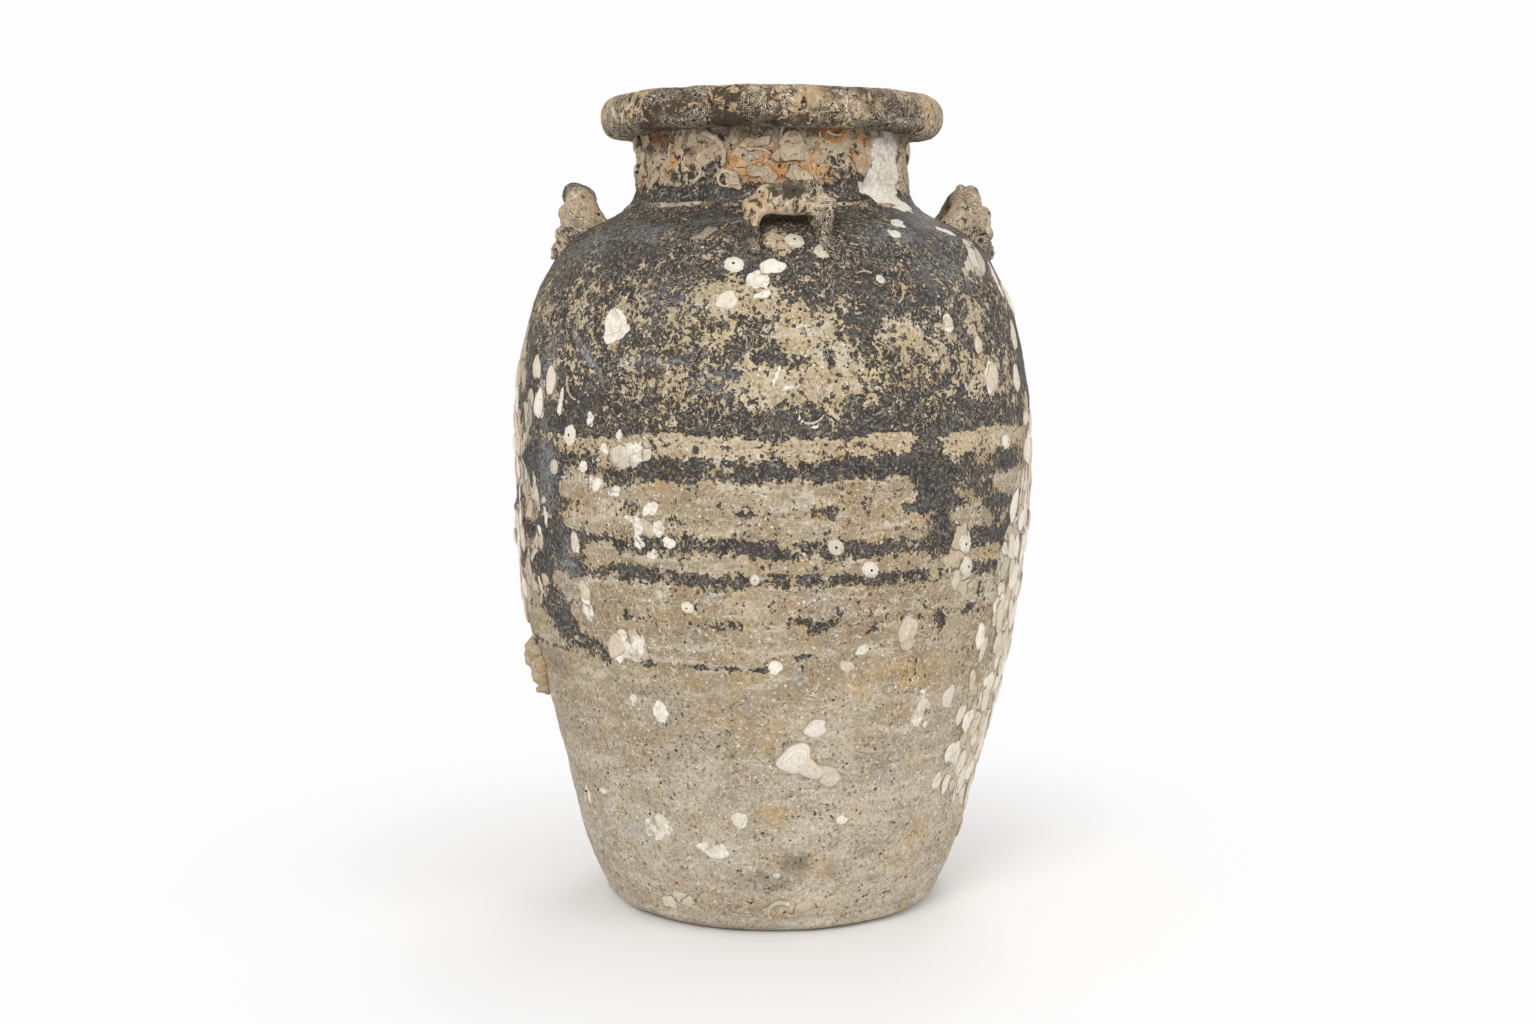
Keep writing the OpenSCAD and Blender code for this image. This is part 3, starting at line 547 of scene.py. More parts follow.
def finishWall(mesh):  # presses the relief into the outside, and keeps the paint on the points, painted shade included
    points = readPoints(mesh)
    angle, radius = polar(points)
    z = points[:, 2].copy()
    outside = (radius > outerR(z) - 0.6) & (z > 0.01)
    cover = glazeCover(points, angle, z)
    flank = flankShells(points, angle, z)
    broad, surface = wallRelief(points, angle, z, cover)
    gap, number = scatter(points, 14, 94)
    surface = surface + flank * (1.3 - 2.0 * gap)
    outwards, upwards = outNormal(z)
    push = (broad + surface) * np.where(outside, smooth(0, 5, z), 0)
    turn = np.radians(angle)
    points[:, 0] += push * outwards * np.sin(turn)
    points[:, 1] -= push * outwards * np.cos(turn)
    points[:, 2] += push * upwards
    deep = (~outside) & (radius < outerR(np.clip(z, 20, 581)) - 6) & (z > 22) & (z < 500)
    wavy = np.where(deep, 0.5 * np.sin(z / 3.1 + 2 * grain(points, 60, 77)) + 0.5 * cloud(points, 30, 78, 2), 0)
    points[:, 0] -= wavy * np.sin(turn)
    points[:, 1] += wavy * np.cos(turn)
    writePoints(mesh, points)
    rough = cloud(points, 8, 41, 3)
    white = marked(angle, z, whiteMarks, rough)
    rust = marked(angle, z, rustMarks, rough, edge=0.6)
    # stains, plus painted shade that grows towards the underside of the rim roll
    stainAndShade = marked(angle, z, stainAndShadeMarks, rough, edge=0.7) + 0.5 * smooth(562, 572, z)
    haze = marked(angle, z, hazeMarks, 0.6 * rough, edge=0.6)
    ochre = marked(angle, z, ochreMarks, rough, edge=0.8)
    # painted shade: the sunken parts of the surface relief are marked for darkening
    hollowShade = 0.5 + 0.35 * surface
    out = outside.astype(float)
    keepColours(mesh, "paint", [np.clip(x, 0, 1) * out for x in (0.5 + 0.4 * cover, white, rust, stainAndShade)])
    keepColours(mesh, "tone", [np.clip(x, 0, 1) * out for x in (haze, ochre, flank, hollowShade)])


# Fired clay that shows where there is no glaze: pale, mottled, specked and pin-holed.
def clayGroup():
    tree, given, out = newGroup("seaClay", [
        ("Vector", "place", None), ("Pale", "colour", (0.50, 0.43, 0.33)), ("Deep", "colour", (0.33, 0.27, 0.19)),
        ("Ochre", "number", 0.0), ("Haze", "number", 0.0), ("Specks", "number", 1.0),
    ], [("Color", "colour"), ("Height", "number")])
    place = given["Vector"]
    level = scaled(tree, place, (0.5, 0.5, 2.6))
    broad = noiseOf(tree, place, 18, 6, 0.66)
    drawn = noiseOf(tree, level, 42, 5, 0.66, 0.6)
    middle = noiseOf(tree, place, 120, 5, 0.68, 0.5)
    fine = noiseOf(tree, place, 480, 3, 0.7)
    base = mixColour(tree, fade(tree, broad, 0.36, 0.64), given["Deep"], given["Pale"])
    base = mixColour(tree, fade(tree, drawn, 0.5, 0.64, 0.0, 0.7), base, (0.62, 0.55, 0.45))
    base = mixColour(tree, fade(tree, drawn, 0.36, 0.47, 0.5, 0.0), base, (0.34, 0.27, 0.185))
    grey = noiseOf(tree, moved(tree, place, (3, 1, 2)), 30, 5, 0.66)
    base = mixColour(tree, calc(tree, "MULTIPLY", fade(tree, grey, 0.52, 0.68), 0.4), base, (0.37, 0.335, 0.285))
    warm = noiseOf(tree, moved(tree, place, (7, 5, 1)), 44, 5, 0.66)
    ochreShare = calc(tree, "ADD", calc(tree, "MULTIPLY", fade(tree, warm, 0.52, 0.66), 0.5),
                      calc(tree, "MULTIPLY", given["Ochre"], fade(tree, warm, 0.36, 0.6)))
    base = mixColour(tree, calc(tree, "MINIMUM", ochreShare, 0.7), base, (0.49, 0.335, 0.14))
    base = mixColour(tree, fade(tree, middle, 0.34, 0.48, 0.4, 0.0), base, (0.27, 0.195, 0.12))
    base = mixColour(tree, fade(tree, middle, 0.55, 0.66, 0.0, 0.45), base, (0.69, 0.62, 0.51))
    base = mixColour(tree, fade(tree, fine, 0.34, 0.46, 0.7, 0.0), base, (0.19, 0.13, 0.07))
    base = mixColour(tree, fade(tree, fine, 0.56, 0.67, 0.0, 0.65), base, (0.80, 0.735, 0.62))
    # Hairlines left by worms: the contour lines of a noise, each with a pale lip beside it.
    contour = noiseOf(tree, moved(tree, place, (2, 2, 9)), 95, 2, 0.5, 1.5)
    wormy = calc(tree, "MULTIPLY", fade(tree, broad, 0.60, 0.46), fade(tree, middle, 0.42, 0.52))
    for level, shade in ((0.47, (0.80, 0.74, 0.63)), (0.50, (0.16, 0.10, 0.05)), (0.59, (0.24, 0.16, 0.09))):
        hair = fade(tree, calc(tree, "ABSOLUTE", calc(tree, "SUBTRACT", contour, level)), 0.002, 0.016, 0.75, 0.0)
        hair = calc(tree, "MULTIPLY", hair, wormy)
        base = mixColour(tree, hair, base, shade)
    speckles = noiseOf(tree, place, 300, 2, 0.5)
    thick = noiseOf(tree, moved(tree, place, (2, 9, 4)), 34, 3)
    brown = calc(tree, "MULTIPLY", fade(tree, speckles, 0.62, 0.67), fade(tree, thick, 0.45, 0.60))
    base = mixColour(tree, calc(tree, "MULTIPLY", brown, given["Specks"]), base, (0.17, 0.10, 0.05))
    for size, low, shade in ((170, 0.60, (0.24, 0.135, 0.06)), (230, 0.74, (0.80, 0.74, 0.63))):
        shifted = moved(tree, place, (0, size, 0))
        fleck = fade(tree, cellsOf(tree, shifted, size), 0.16, 0.26, 0.8, 0.0)
        some = fade(tree, cellsOf(tree, shifted, size, output="Color"), low, low + 0.02)
        base = mixColour(tree, calc(tree, "MULTIPLY", fleck, some), base, shade)
    holes = cellsOf(tree, place, 95)
    chosen = cellsOf(tree, place, 95, output="Color")
    pinhole = calc(tree, "MULTIPLY", fade(tree, holes, 0.06, 0.12, 1.0, 0.0), fade(tree, chosen, 0.56, 0.60))
    pinhole = calc(tree, "MULTIPLY", pinhole, given["Specks"])
    base = mixColour(tree, pinhole, base, (0.035, 0.025, 0.018))
    hazed = calc(tree, "MULTIPLY", given["Haze"], 0.8)
    feed(tree, out["Color"], mixColour(tree, hazed, base, (0.36, 0.37, 0.385)))
    height = calc(tree, "ADD", calc(tree, "MULTIPLY", fine, 0.4), calc(tree, "MULTIPLY", middle, 0.7))
    height = calc(tree, "MULTIPLY_ADD", hair, -0.3, height)
    feed(tree, out["Height"], calc(tree, "MULTIPLY_ADD", pinhole, -0.9, height))
    return tree


# Dark glaze eaten by the sea: ragged islands and dots, with fine pale tracery left by worms.
def glazeGroup():
    tree, given, out = newGroup("wornGlaze", [
        ("Vector", "place", None), ("Cover", "number", 0.5), ("Haze", "number", 0.0), ("Tracery", "number", 1.0),
    ], [("Mask", "number"), ("Color", "colour"), ("Edge", "number"), ("Height", "number")])
    place = given["Vector"]
    wide = noiseOf(tree, place, 60, 3, 0.6, 0.3)
    small = noiseOf(tree, place, 180, 3, 0.62, 0.8)
    tiny = noiseOf(tree, place, 430, 2, 0.5)
    field = calc(tree, "MULTIPLY_ADD", given["Cover"], 2.5, -1.25)
    for noise, strength in ((wide, 2.6), (small, 4.2), (tiny, 1.5)):
        field = calc(tree, "MULTIPLY_ADD", calc(tree, "SUBTRACT", noise, 0.5), strength, field)
    solid = fade(tree, field, -0.05, 0.10)
    whorl = noiseOf(tree, place, 46, 2, 0.5, 1.7)
    lines = calc(tree, "SINE", calc(tree, "MULTIPLY_ADD", whorl, 84.0, calc(tree, "MULTIPLY", small, 8.0)))
    where = noiseOf(tree, moved(tree, place, (5, 2, 8)), 30, 3, 0.6)
    breaks = noiseOf(tree, moved(tree, place, (1, 4, 3)), 210, 2, 0.5)
    threads = calc(tree, "MULTIPLY", fade(tree, lines, 0.35, 0.85), fade(tree, where, 0.36, 0.60, 0.12, 1.0))
    threads = calc(tree, "MULTIPLY", threads, fade(tree, breaks, 0.40, 0.50))
    threads = calc(tree, "MULTIPLY", threads, fade(tree, field, 0.5, 1.8, 1.0, 0.6))
    threads = calc(tree, "MULTIPLY", threads, given["Tracery"])
    spots = fade(tree, cellsOf(tree, place, 190), 0.16, 0.26, 1.0, 0.0)
    spots = calc(tree, "MULTIPLY", spots, fade(tree, cellsOf(tree, place, 190, output="Color"), 0.56, 0.60))
    threads = calc(tree, "MAXIMUM", threads, calc(tree, "MULTIPLY", spots, given["Tracery"]))
    mask = calc(tree, "MULTIPLY", solid, calc(tree, "MULTIPLY_ADD", threads, -0.85, 1.0))
    ring = fade(tree, calc(tree, "ABSOLUTE", calc(tree, "SUBTRACT", field, 0.14)), 0.1, 0.36, 1.0, 0.0)
    for size, most in ((230, 0.66), (400, 0.60)):
        shifted = moved(tree, place, (size, 0, 0))
        gap = cellsOf(tree, shifted, size)
        chance = fade(tree, field, -1.1, 0.1, 0.0, most)
        dot = calc(tree, "LESS_THAN", cellsOf(tree, shifted, size, output="Color"), chance)
        dot = calc(tree, "MULTIPLY", dot, fade(tree, gap, 0.30, 0.40, 1.0, 0.0))
        mask = calc(tree, "MAXIMUM", mask, calc(tree, "MULTIPLY", dot, 0.95))
        ring = calc(tree, "MAXIMUM", ring, calc(tree, "MULTIPLY", dot, fade(tree, gap, 0.08, 0.24)))
    body = mixColour(tree, fade(tree, wide, 0.36, 0.64), (0.018, 0.0165, 0.014), (0.060, 0.057, 0.053))
    body = mixColour(tree, fade(tree, tiny, 0.50, 0.62, 0.0, 0.7), body, (0.20, 0.19, 0.175))
    body = mixColour(tree, fade(tree, breaks, 0.54, 0.68, 0.0, 0.6), body, (0.085, 0.06, 0.038))
    dark = calc(tree, "MULTIPLY", fade(tree, lines, -0.2, -0.9), fade(tree, where, 0.4, 0.6, 0.2, 0.8))
    body = mixColour(tree, dark, body, (0.028, 0.026, 0.024))
    hazed = calc(tree, "MULTIPLY", given["Haze"], fade(tree, small, 0.25, 0.6, 0.45, 1.0))
    body = mixColour(tree, hazed, body, (0.27, 0.285, 0.30))
    feed(tree, out["Color"], mixColour(tree, calc(tree, "MULTIPLY", ring, 0.85), body, (0.032, 0.024, 0.017)))
    feed(tree, out["Mask"], mask)
    feed(tree, out["Edge"], fade(tree, field, -1.3, -0.1))
    raised = calc(tree, "ADD", calc(tree, "MULTIPLY", mask, 0.5), calc(tree, "MULTIPLY", threads, 0.3))
    feed(tree, out["Height"], calc(tree, "MULTIPLY_ADD", tiny, 0.25, raised))
    return tree


# Flat old shells grown edge to edge, cream and peach with thin brown seams.
def seamGroup():
    tree, given, out = newGroup("shellSeams", [("Vector", "place", None), ("Share", "number", 0.0)],
                                [("Mask", "number"), ("Color", "colour"), ("Height", "number")])
    place = given["Vector"]
    bend = put(tree, "ShaderNodeTexNoise", {"Vector": place, "Scale": 70.0, "Detail": 2.0}).outputs["Color"]
    bent = put(tree, "ShaderNodeVectorMath", {0: bend, 1: (0.012, 0.012, 0.012), 2: place}, operation="MULTIPLY_ADD")
    bent = scaled(tree, bent.outputs[0], (1, 1, 0.72))
    seam = cellsOf(tree, bent, 78, feature="DISTANCE_TO_EDGE")
    pick = cellsOf(tree, bent, 78, output="Color")
    fine = noiseOf(tree, place, 300, 4, 0.66)
    colour = mixColour(tree, fade(tree, pick, 0.3, 0.7), (0.82, 0.76, 0.64), (0.60, 0.51, 0.375))
    peach = cellsOf(tree, moved(tree, bent, (0.001, 0, 0)), 40, output="Color")
    colour = mixColour(tree, fade(tree, peach, 0.60, 0.70, 0.0, 0.4), colour, (0.60, 0.45, 0.29))
    colour = mixColour(tree, fade(tree, fine, 0.34, 0.5, 0.4, 0.0), colour, (0.36, 0.29, 0.21))
    line = fade(tree, calc(tree, "MULTIPLY_ADD", fine, 0.05, seam), 0.035, 0.075, 0.9, 0.0)
    feed(tree, out["Color"], mixColour(tree, line, colour, (0.17, 0.115, 0.07)))
    some = calc(tree, "MULTIPLY_ADD", calc(tree, "SUBTRACT", pick, 0.5), 1.1, given["Share"])
    feed(tree, out["Mask"], fade(tree, some, 0.50, 0.58))
    feed(tree, out["Height"], fade(tree, seam, 0.0, 0.22))
    return tree


# Old crust on the neck: lapped grey, tan and rusty layers, mottled dark, with pale worm lines.
def crustGroup():
    tree, given, out = newGroup("neckLayers", [("Vector", "place", None), ("Rust", "number", 0.0),
                                               ("Dark", "number", 0.0)], [("Color", "colour"), ("Height", "number")])
    place = given["Vector"]
    broad = noiseOf(tree, place, 34, 4, 0.6)
    middle = noiseOf(tree, moved(tree, place, (1, 6, 2)), 90, 5, 0.7, 0.6)
    fine = noiseOf(tree, place, 360, 3, 0.7)
    layers = noiseOf(tree, moved(tree, place, (4, 0, 3)), 42, 2, 0.5, 1.3)
    base = mixColour(tree, fade(tree, broad, 0.42, 0.58), (0.44, 0.315, 0.185), (0.64, 0.50, 0.335))
    base = mixColour(tree, fade(tree, layers, 0.50, 0.515, 0.0, 0.75), base, (0.46, 0.37, 0.275))
    base = mixColour(tree, fade(tree, layers, 0.60, 0.615, 0.0, 0.75), base, (0.56, 0.45, 0.29))
    base = mixColour(tree, fade(tree, layers, 0.395, 0.38, 0.0, 0.7), base, (0.30, 0.19, 0.10))
    rustShare = fade(tree, calc(tree, "MULTIPLY_ADD", middle, 1.0, given["Rust"]), 0.74, 0.98, 0.0, 0.95)
    rusty = mixColour(tree, fade(tree, middle, 0.38, 0.6), (0.44, 0.175, 0.045), (0.66, 0.35, 0.12))
    base = mixColour(tree, rustShare, base, rusty)
    field = calc(tree, "MULTIPLY_ADD", calc(tree, "SUBTRACT", middle, 0.5), 2.4, given["Dark"])
    field = calc(tree, "MULTIPLY_ADD", calc(tree, "SUBTRACT", fine, 0.5), 1.4, field)
    base = mixColour(tree, fade(tree, field, 0.34, 0.56, 0.0, 0.85), base, (0.07, 0.048, 0.03))
    whorl = noiseOf(tree, place, 62, 2, 0.5, 1.6)
    lines = calc(tree, "SINE", calc(tree, "MULTIPLY", whorl, 90.0))
    pale = calc(tree, "MULTIPLY", fade(tree, lines, 0.45, 0.9), fade(tree, broad, 0.42, 0.60, 0.85, 0.0))
    base = mixColour(tree, pale, base, (0.62, 0.53, 0.40))
    base = mixColour(tree, fade(tree, fine, 0.54, 0.66, 0.0, 0.55), base, (0.68, 0.58, 0.45))
    height = calc(tree, "MULTIPLY_ADD", fine, 0.5, calc(tree, "MULTIPLY", pale, 0.4))
    for edge in (0.50, 0.60, 0.395):
        lip = fade(tree, calc(tree, "ABSOLUTE", calc(tree, "SUBTRACT", layers, edge - 0.006)), 0.002, 0.009, 0.65, 0.0)
        lip = calc(tree, "MULTIPLY", lip, fade(tree, middle, 0.40, 0.52))
        base = mixColour(tree, lip, base, (0.045, 0.028, 0.016))
        height = calc(tree, "ADD", height, fade(tree, layers, edge - 0.012, edge, 0.0, 1.6))
    feed(tree, out["Color"], base)
    feed(tree, out["Height"], height)
    return tree


seaClay = clayGroup()
neckLayers = crustGroup()
wornGlaze = glazeGroup()
shellSeams = seamGroup()


def newMaterial(name):
    material = bpy.data.materials.new(name)
    material.use_nodes = True
    tree = material.node_tree
    tree.nodes.clear()
    return material, tree


def finishMaterial(tree, colour, rough, height, depth=0.0006, specular=0.35, strength=0.8):
    bump = put(tree, "ShaderNodeBump", {"Strength": strength, "Distance": depth, "Height": height})
    shader = put(tree, "ShaderNodeBsdfPrincipled", {"Base Color": colour, "Roughness": rough,
                                                    "Specular IOR Level": specular, "Normal": bump.outputs[0]})
    put(tree, "ShaderNodeOutputMaterial", {"Surface": shader.outputs[0]})


def split(tree, name):
    item = put(tree, "ShaderNodeAttribute", attribute_name=name)
    parts = put(tree, "ShaderNodeSeparateColor", {0: item.outputs["Color"]}).outputs
    return parts[0], parts[1], parts[2], item.outputs["Alpha"]


def wallMaterial(name, pale, deep, tracery=1.0, specks=1.0):
    material, tree = newMaterial(name)
    place = put(tree, "ShaderNodeTexCoord").outputs["Object"]
    cover, white, rust, stainAndShade = split(tree, "paint")
    haze, ochre, flank, hollowShade = split(tree, "tone")
    upward = put(tree, "ShaderNodeSeparateXYZ", {0: place}).outputs[2]
    neck = fade(tree, upward, 0.526, 0.540)
    high = fade(tree, upward, 0.09, 0.21)  # the clay is paler towards the foot
    pale = mixColour(tree, high, (0.56, 0.495, 0.395), pale)
    deep = mixColour(tree, high, (0.42, 0.355, 0.27), deep)
    clay = useGroup(tree, seaClay, {"Vector": place, "Pale": pale, "Deep": deep, "Ochre": ochre,
                                    "Haze": calc(tree, "MULTIPLY", haze, 0.5), "Specks": specks})
    glaze = useGroup(tree, wornGlaze, {"Vector": place, "Cover": cover, "Haze": haze, "Tracery": tracery})
    shells = useGroup(tree, shellSeams, {"Vector": place, "Share": flank})
    colour = clay["Color"]
    ragged = noiseOf(tree, place, 110, 4, 0.65, 0.6)
    fine = noiseOf(tree, place, 380, 3, 0.6)
    halo = calc(tree, "MULTIPLY", glaze["Edge"], fade(tree, ragged, 0.48, 0.64, 0.0, 0.5))
    colour = mixColour(tree, halo, colour, (0.56, 0.42, 0.22))
    crust = useGroup(tree, neckLayers, {"Vector": place, "Rust": rust, "Dark": calc(tree, "MULTIPLY", stainAndShade, 0.5)})
    colour = mixColour(tree, neck, colour, crust["Color"])
    colour = mixColour(tree, glaze["Mask"], colour, glaze["Color"])
    colour = mixColour(tree, calc(tree, "MULTIPLY", shells["Mask"], 0.92), colour, shells["Color"])
    whiteField = calc(tree, "MULTIPLY_ADD", calc(tree, "SUBTRACT", ragged, 0.5), 1.5, white)
    whiteShare = fade(tree, whiteField, 0.42, 0.58)
    whiteColour = mixColour(tree, fade(tree, fine, 0.35, 0.6), (0.74, 0.655, 0.52), (0.93, 0.88, 0.785))
    colour = mixColour(tree, calc(tree, "MULTIPLY", whiteShare, 0.93), colour, whiteColour)
    # Stains darken the wall, and so does painted shade in the front lug's eye and under the rim roll.
    dirtAndShade = calc(tree, "MULTIPLY", stainAndShade, fade(tree, ragged, 0.32, 0.62, 0.25, 1.0))
    colour = mixColour(tree, calc(tree, "MULTIPLY", dirtAndShade, 0.8), colour, (0.075, 0.05, 0.03))
    # Painted shade: the wall is darker in the hollows of its relief.
    low = fade(tree, hollowShade, 0.16, 0.45, 0.5, 0.0)
    colour = mixColour(tree, low, colour, (0.10, 0.08, 0.06), "MULTIPLY")
    rough = fade(tree, glaze["Mask"], 0.0, 1.0, 0.88, 0.66)
    height = calc(tree, "ADD", calc(tree, "MULTIPLY", glaze["Height"], 0.7), clay["Height"])
    height = calc(tree, "MULTIPLY_ADD", calc(tree, "MULTIPLY", neck, crust["Height"]), 1.0, height)
    height = calc(tree, "MULTIPLY_ADD", whiteShare, 0.5, height)
    height = calc(tree, "MULTIPLY_ADD", calc(tree, "MULTIPLY", shells["Mask"], shells["Height"]), 1.2, height)
    finishMaterial(tree, colour, rough, height, 0.0013)
    return material


lowerMaterial = wallMaterial("lowerClay", (0.41, 0.33, 0.22), (0.30, 0.225, 0.135), 0.8, 0.6)
bellyMaterial = wallMaterial("bellyClay", (0.41, 0.33, 0.22), (0.30, 0.225, 0.135), 0.8, 0.6)
shoulderMaterial = wallMaterial("shoulderGlaze", (0.58, 0.475, 0.315), (0.43, 0.33, 0.19), 0.95)
neckMaterial = wallMaterial("neckClay", (0.47, 0.39, 0.29), (0.31, 0.235, 0.155), 0.9)


def makeWalls():
    j = jar
    heel, low, high, neck = j["heelJoint"], j["lowJoint"], j["highJoint"], j["neckJoint"]
    innerFoot = float(np.interp(20, innerZ, innerR))
    under = [(117 * k / 9, 0) for k in range(10)]
    inFloor = [(innerFoot * k / 8, j["floor"]) for k in range(8, -1, -1)]
    mesh = turnMesh("baseDisc", under + outerLine(0, heel)[1:] + [(innerFoot, heel)] + inFloor,
                    j["columns"], closed=False)
    finishWall(mesh)
    addPiece("baseDisc", mesh, lowerMaterial, ["base_disc"])
    outline = outerLine(heel, low) + innerLine(j["floor"] + 4, low) + [(innerFoot, j["floor"]), (innerFoot, heel)]
    mesh = turnMesh("lowerWall", outline, j["columns"])
    finishWall(mesh)
    addPiece("lowerWall", mesh, lowerMaterial, ["lower_wall"])
    mesh = turnMesh("bellyWall", outerLine(low, high) + innerLine(low, high), j["columns"])
    finishWall(mesh)
    addPiece("bellyWall", mesh, bellyMaterial, ["belly_wall"])
    mesh = turnMesh("shoulderWall", outerLine(high, neck) + innerLine(high, neck), j["columns"])
    finishWall(mesh)
    addPiece("shoulderWall", mesh, shoulderMaterial, ["shoulder_wall"])
    throat = [(j["throatR"], z) for z in np.linspace(j["top"], j["throatZ"], 8)]
    outline = outerLine(neck, j["top"], 1.3) + throat + innerLine(neck, j["throatZ"] - 3, 4)
    mesh = turnMesh("neckWall", outline, j["columns"])
    finishWall(mesh)
    addPiece("neckWall", mesh, neckMaterial, ["neck_wall"])


makeWalls()
print("walls made")


# Pitted, stained clay of the rim, the lugs and the coil; its Dark input also carries painted shade.
def pittedGroup():
    tree, given, out = newGroup("pittedClay", [
        ("Vector", "place", None), ("Pale", "colour", (0.47, 0.40, 0.31)), ("Dark", "number", 0.5),
        ("Ochre", "number", 0.3),
    ], [("Color", "colour"), ("Height", "number")])
    place = given["Vector"]
    broad = noiseOf(tree, place, 32, 4, 0.62, 0.5)
    fine = noiseOf(tree, place, 300, 4, 0.68)
    streaks = noiseOf(tree, place, 130, 5, 0.68, 1.3)
    base = mixColour(tree, fade(tree, broad, 0.36, 0.66), given["Pale"], (0.29, 0.21, 0.125))
    base = mixColour(tree, fade(tree, fine, 0.54, 0.65, 0.0, 0.8), base, (0.74, 0.64, 0.49))
    base = mixColour(tree, fade(tree, fine, 0.36, 0.47, 0.75, 0.0), base, (0.13, 0.09, 0.055))
    warm = noiseOf(tree, moved(tree, place, (4, 2, 6)), 48, 4, 0.6)
    ochreShare = calc(tree, "MULTIPLY", fade(tree, warm, 0.50, 0.66), given["Ochre"])
    base = mixColour(tree, ochreShare, base, (0.50, 0.33, 0.15))
    darkField = calc(tree, "MULTIPLY_ADD", calc(tree, "SUBTRACT", streaks, 0.5), 3.4, given["Dark"])
    darkField = calc(tree, "MULTIPLY_ADD", calc(tree, "SUBTRACT", broad, 0.5), 2.0, darkField)
    darkShare = fade(tree, darkField, 0.38, 0.6, 0.0, 0.96)
    base = mixColour(tree, darkShare, base, mixColour(tree, fine, (0.018, 0.012, 0.008), (0.085, 0.060, 0.040)))
    squiggle = noiseOf(tree, place, 90, 2, 0.5, 1.4)
    lines = calc(tree, "SINE", calc(tree, "MULTIPLY", squiggle, 90.0))
    pale = calc(tree, "MULTIPLY", fade(tree, lines, 0.5, 0.9, 0.0, 0.85), fade(tree, broad, 0.42, 0.54))
    base = mixColour(tree, pale, base, (0.76, 0.66, 0.50))
    holes = cellsOf(tree, place, 150)
    chosen = cellsOf(tree, place, 150, output="Color")
    pinhole = calc(tree, "MULTIPLY", fade(tree, holes, 0.13, 0.21, 1.0, 0.0), fade(tree, chosen, 0.46, 0.5))
    feed(tree, out["Color"], mixColour(tree, pinhole, base, (0.02, 0.015, 0.012)))
    height = calc(tree, "ADD", calc(tree, "MULTIPLY", fine, 0.5), calc(tree, "MULTIPLY", streaks, 0.5))
    feed(tree, out["Height"], calc(tree, "MULTIPLY_ADD", pinhole, -1.0, height))
    return tree


pittedClay = pittedGroup()


def pittedMaterial(name, pale, dark, ochre):
    material, tree = newMaterial(name)
    place = put(tree, "ShaderNodeTexCoord").outputs["Object"]
    stainAndShade, ochreMark, hollowShade, white = split(tree, "mark")
    clay = useGroup(tree, pittedClay, {
        "Vector": place, "Pale": pale, "Dark": calc(tree, "ADD", stainAndShade, dark),
        "Ochre": calc(tree, "ADD", ochreMark, ochre),
    })
    # Painted shade: darker where the surface is pitted or sunk.
    low = fade(tree, hollowShade, 0.1, 0.5, 0.7, 0.0)
    colour = mixColour(tree, low, clay["Color"], (0.10, 0.07, 0.05), "MULTIPLY")
    colour = mixColour(tree, calc(tree, "MULTIPLY", white, 0.85), colour, (0.66, 0.61, 0.53))
    finishMaterial(tree, colour, 0.85, clay["Height"], 0.0014)
    return material


rimMaterial = pittedMaterial("rimClay", (0.50, 0.36, 0.205), 0.09, 0.45)
lugMaterial = pittedMaterial("lugClay", (0.49, 0.395, 0.27), 0.04, 0.25)
coilMaterial = pittedMaterial("coilClay", (0.44, 0.37, 0.275), 0.0, 0.15)


# Shell: pale and chalky, brown at the edge where it meets the wall, partly stain and partly painted shade.
def shellMaterial(name, pale, tint, darkening, blush=(0.62, 0.47, 0.33)):
    material, tree = newMaterial(name)
    place = put(tree, "ShaderNodeTexCoord").outputs["Object"]
    edge, number, pink, dark = split(tree, "mark")
    fine = noiseOf(tree, place, 330, 4, 0.66)
    broad = noiseOf(tree, place, 90, 3, 0.6)
    colour = mixColour(tree, fade(tree, number, 0.25, 0.85), pale, tint)
    colour = mixColour(tree, fade(tree, pink, 0.66, 0.9, 0.0, 0.7), colour, blush)
    rings = calc(tree, "SINE", calc(tree, "MULTIPLY_ADD", edge, 24.0, calc(tree, "MULTIPLY", broad, 6.0)))
    colour = mixColour(tree, fade(tree, rings, 0.2, 1.0, 0.0, 0.28), colour, (0.45, 0.37, 0.27))
    ragged = calc(tree, "MULTIPLY_ADD", calc(tree, "SUBTRACT", fine, 0.5), 0.35, edge)
    # Stain and painted shade: darker brown at the marked edge, where the piece meets the wall.
    colour = mixColour(tree, fade(tree, ragged, 0.86, 1.0, 0.0, darkening), colour, (0.19, 0.13, 0.075))
    colour = mixColour(tree, fade(tree, fine, 0.54, 0.66, 0.0, 0.5), colour, (0.84, 0.79, 0.70))
    colour = mixColour(tree, fade(tree, fine, 0.34, 0.45, 0.4, 0.0), colour, (0.30, 0.22, 0.14))
    colour = mixColour(tree, fade(tree, broad, 0.54, 0.68, 0.0, 0.4), colour, (0.44, 0.355, 0.24))
    # Painted shade: the marked parts, such as barnacle hole floors and tube mouths, go near-black.
    colour = mixColour(tree, dark, colour, (0.035, 0.026, 0.02))
    height = calc(tree, "ADD", calc(tree, "MULTIPLY", rings, 0.12), fine)
    finishMaterial(tree, colour, 0.78, height, 0.0005, 0.4)
    return material


oysterMaterial = shellMaterial("oysterShell", (0.86, 0.80, 0.69), (0.68, 0.585, 0.44), 0.8)
barnacleMaterial = shellMaterial("barnacleShell", (0.78, 0.72, 0.62), (0.60, 0.53, 0.42), 0.6)
tubeMaterial = shellMaterial("wormTube", (0.58, 0.49, 0.37), (0.48, 0.38, 0.26), 0.3)
lumpMaterial = shellMaterial("lumpShell", (0.44, 0.345, 0.22), (0.34, 0.235, 0.125), 0.9, (0.48, 0.29, 0.11))


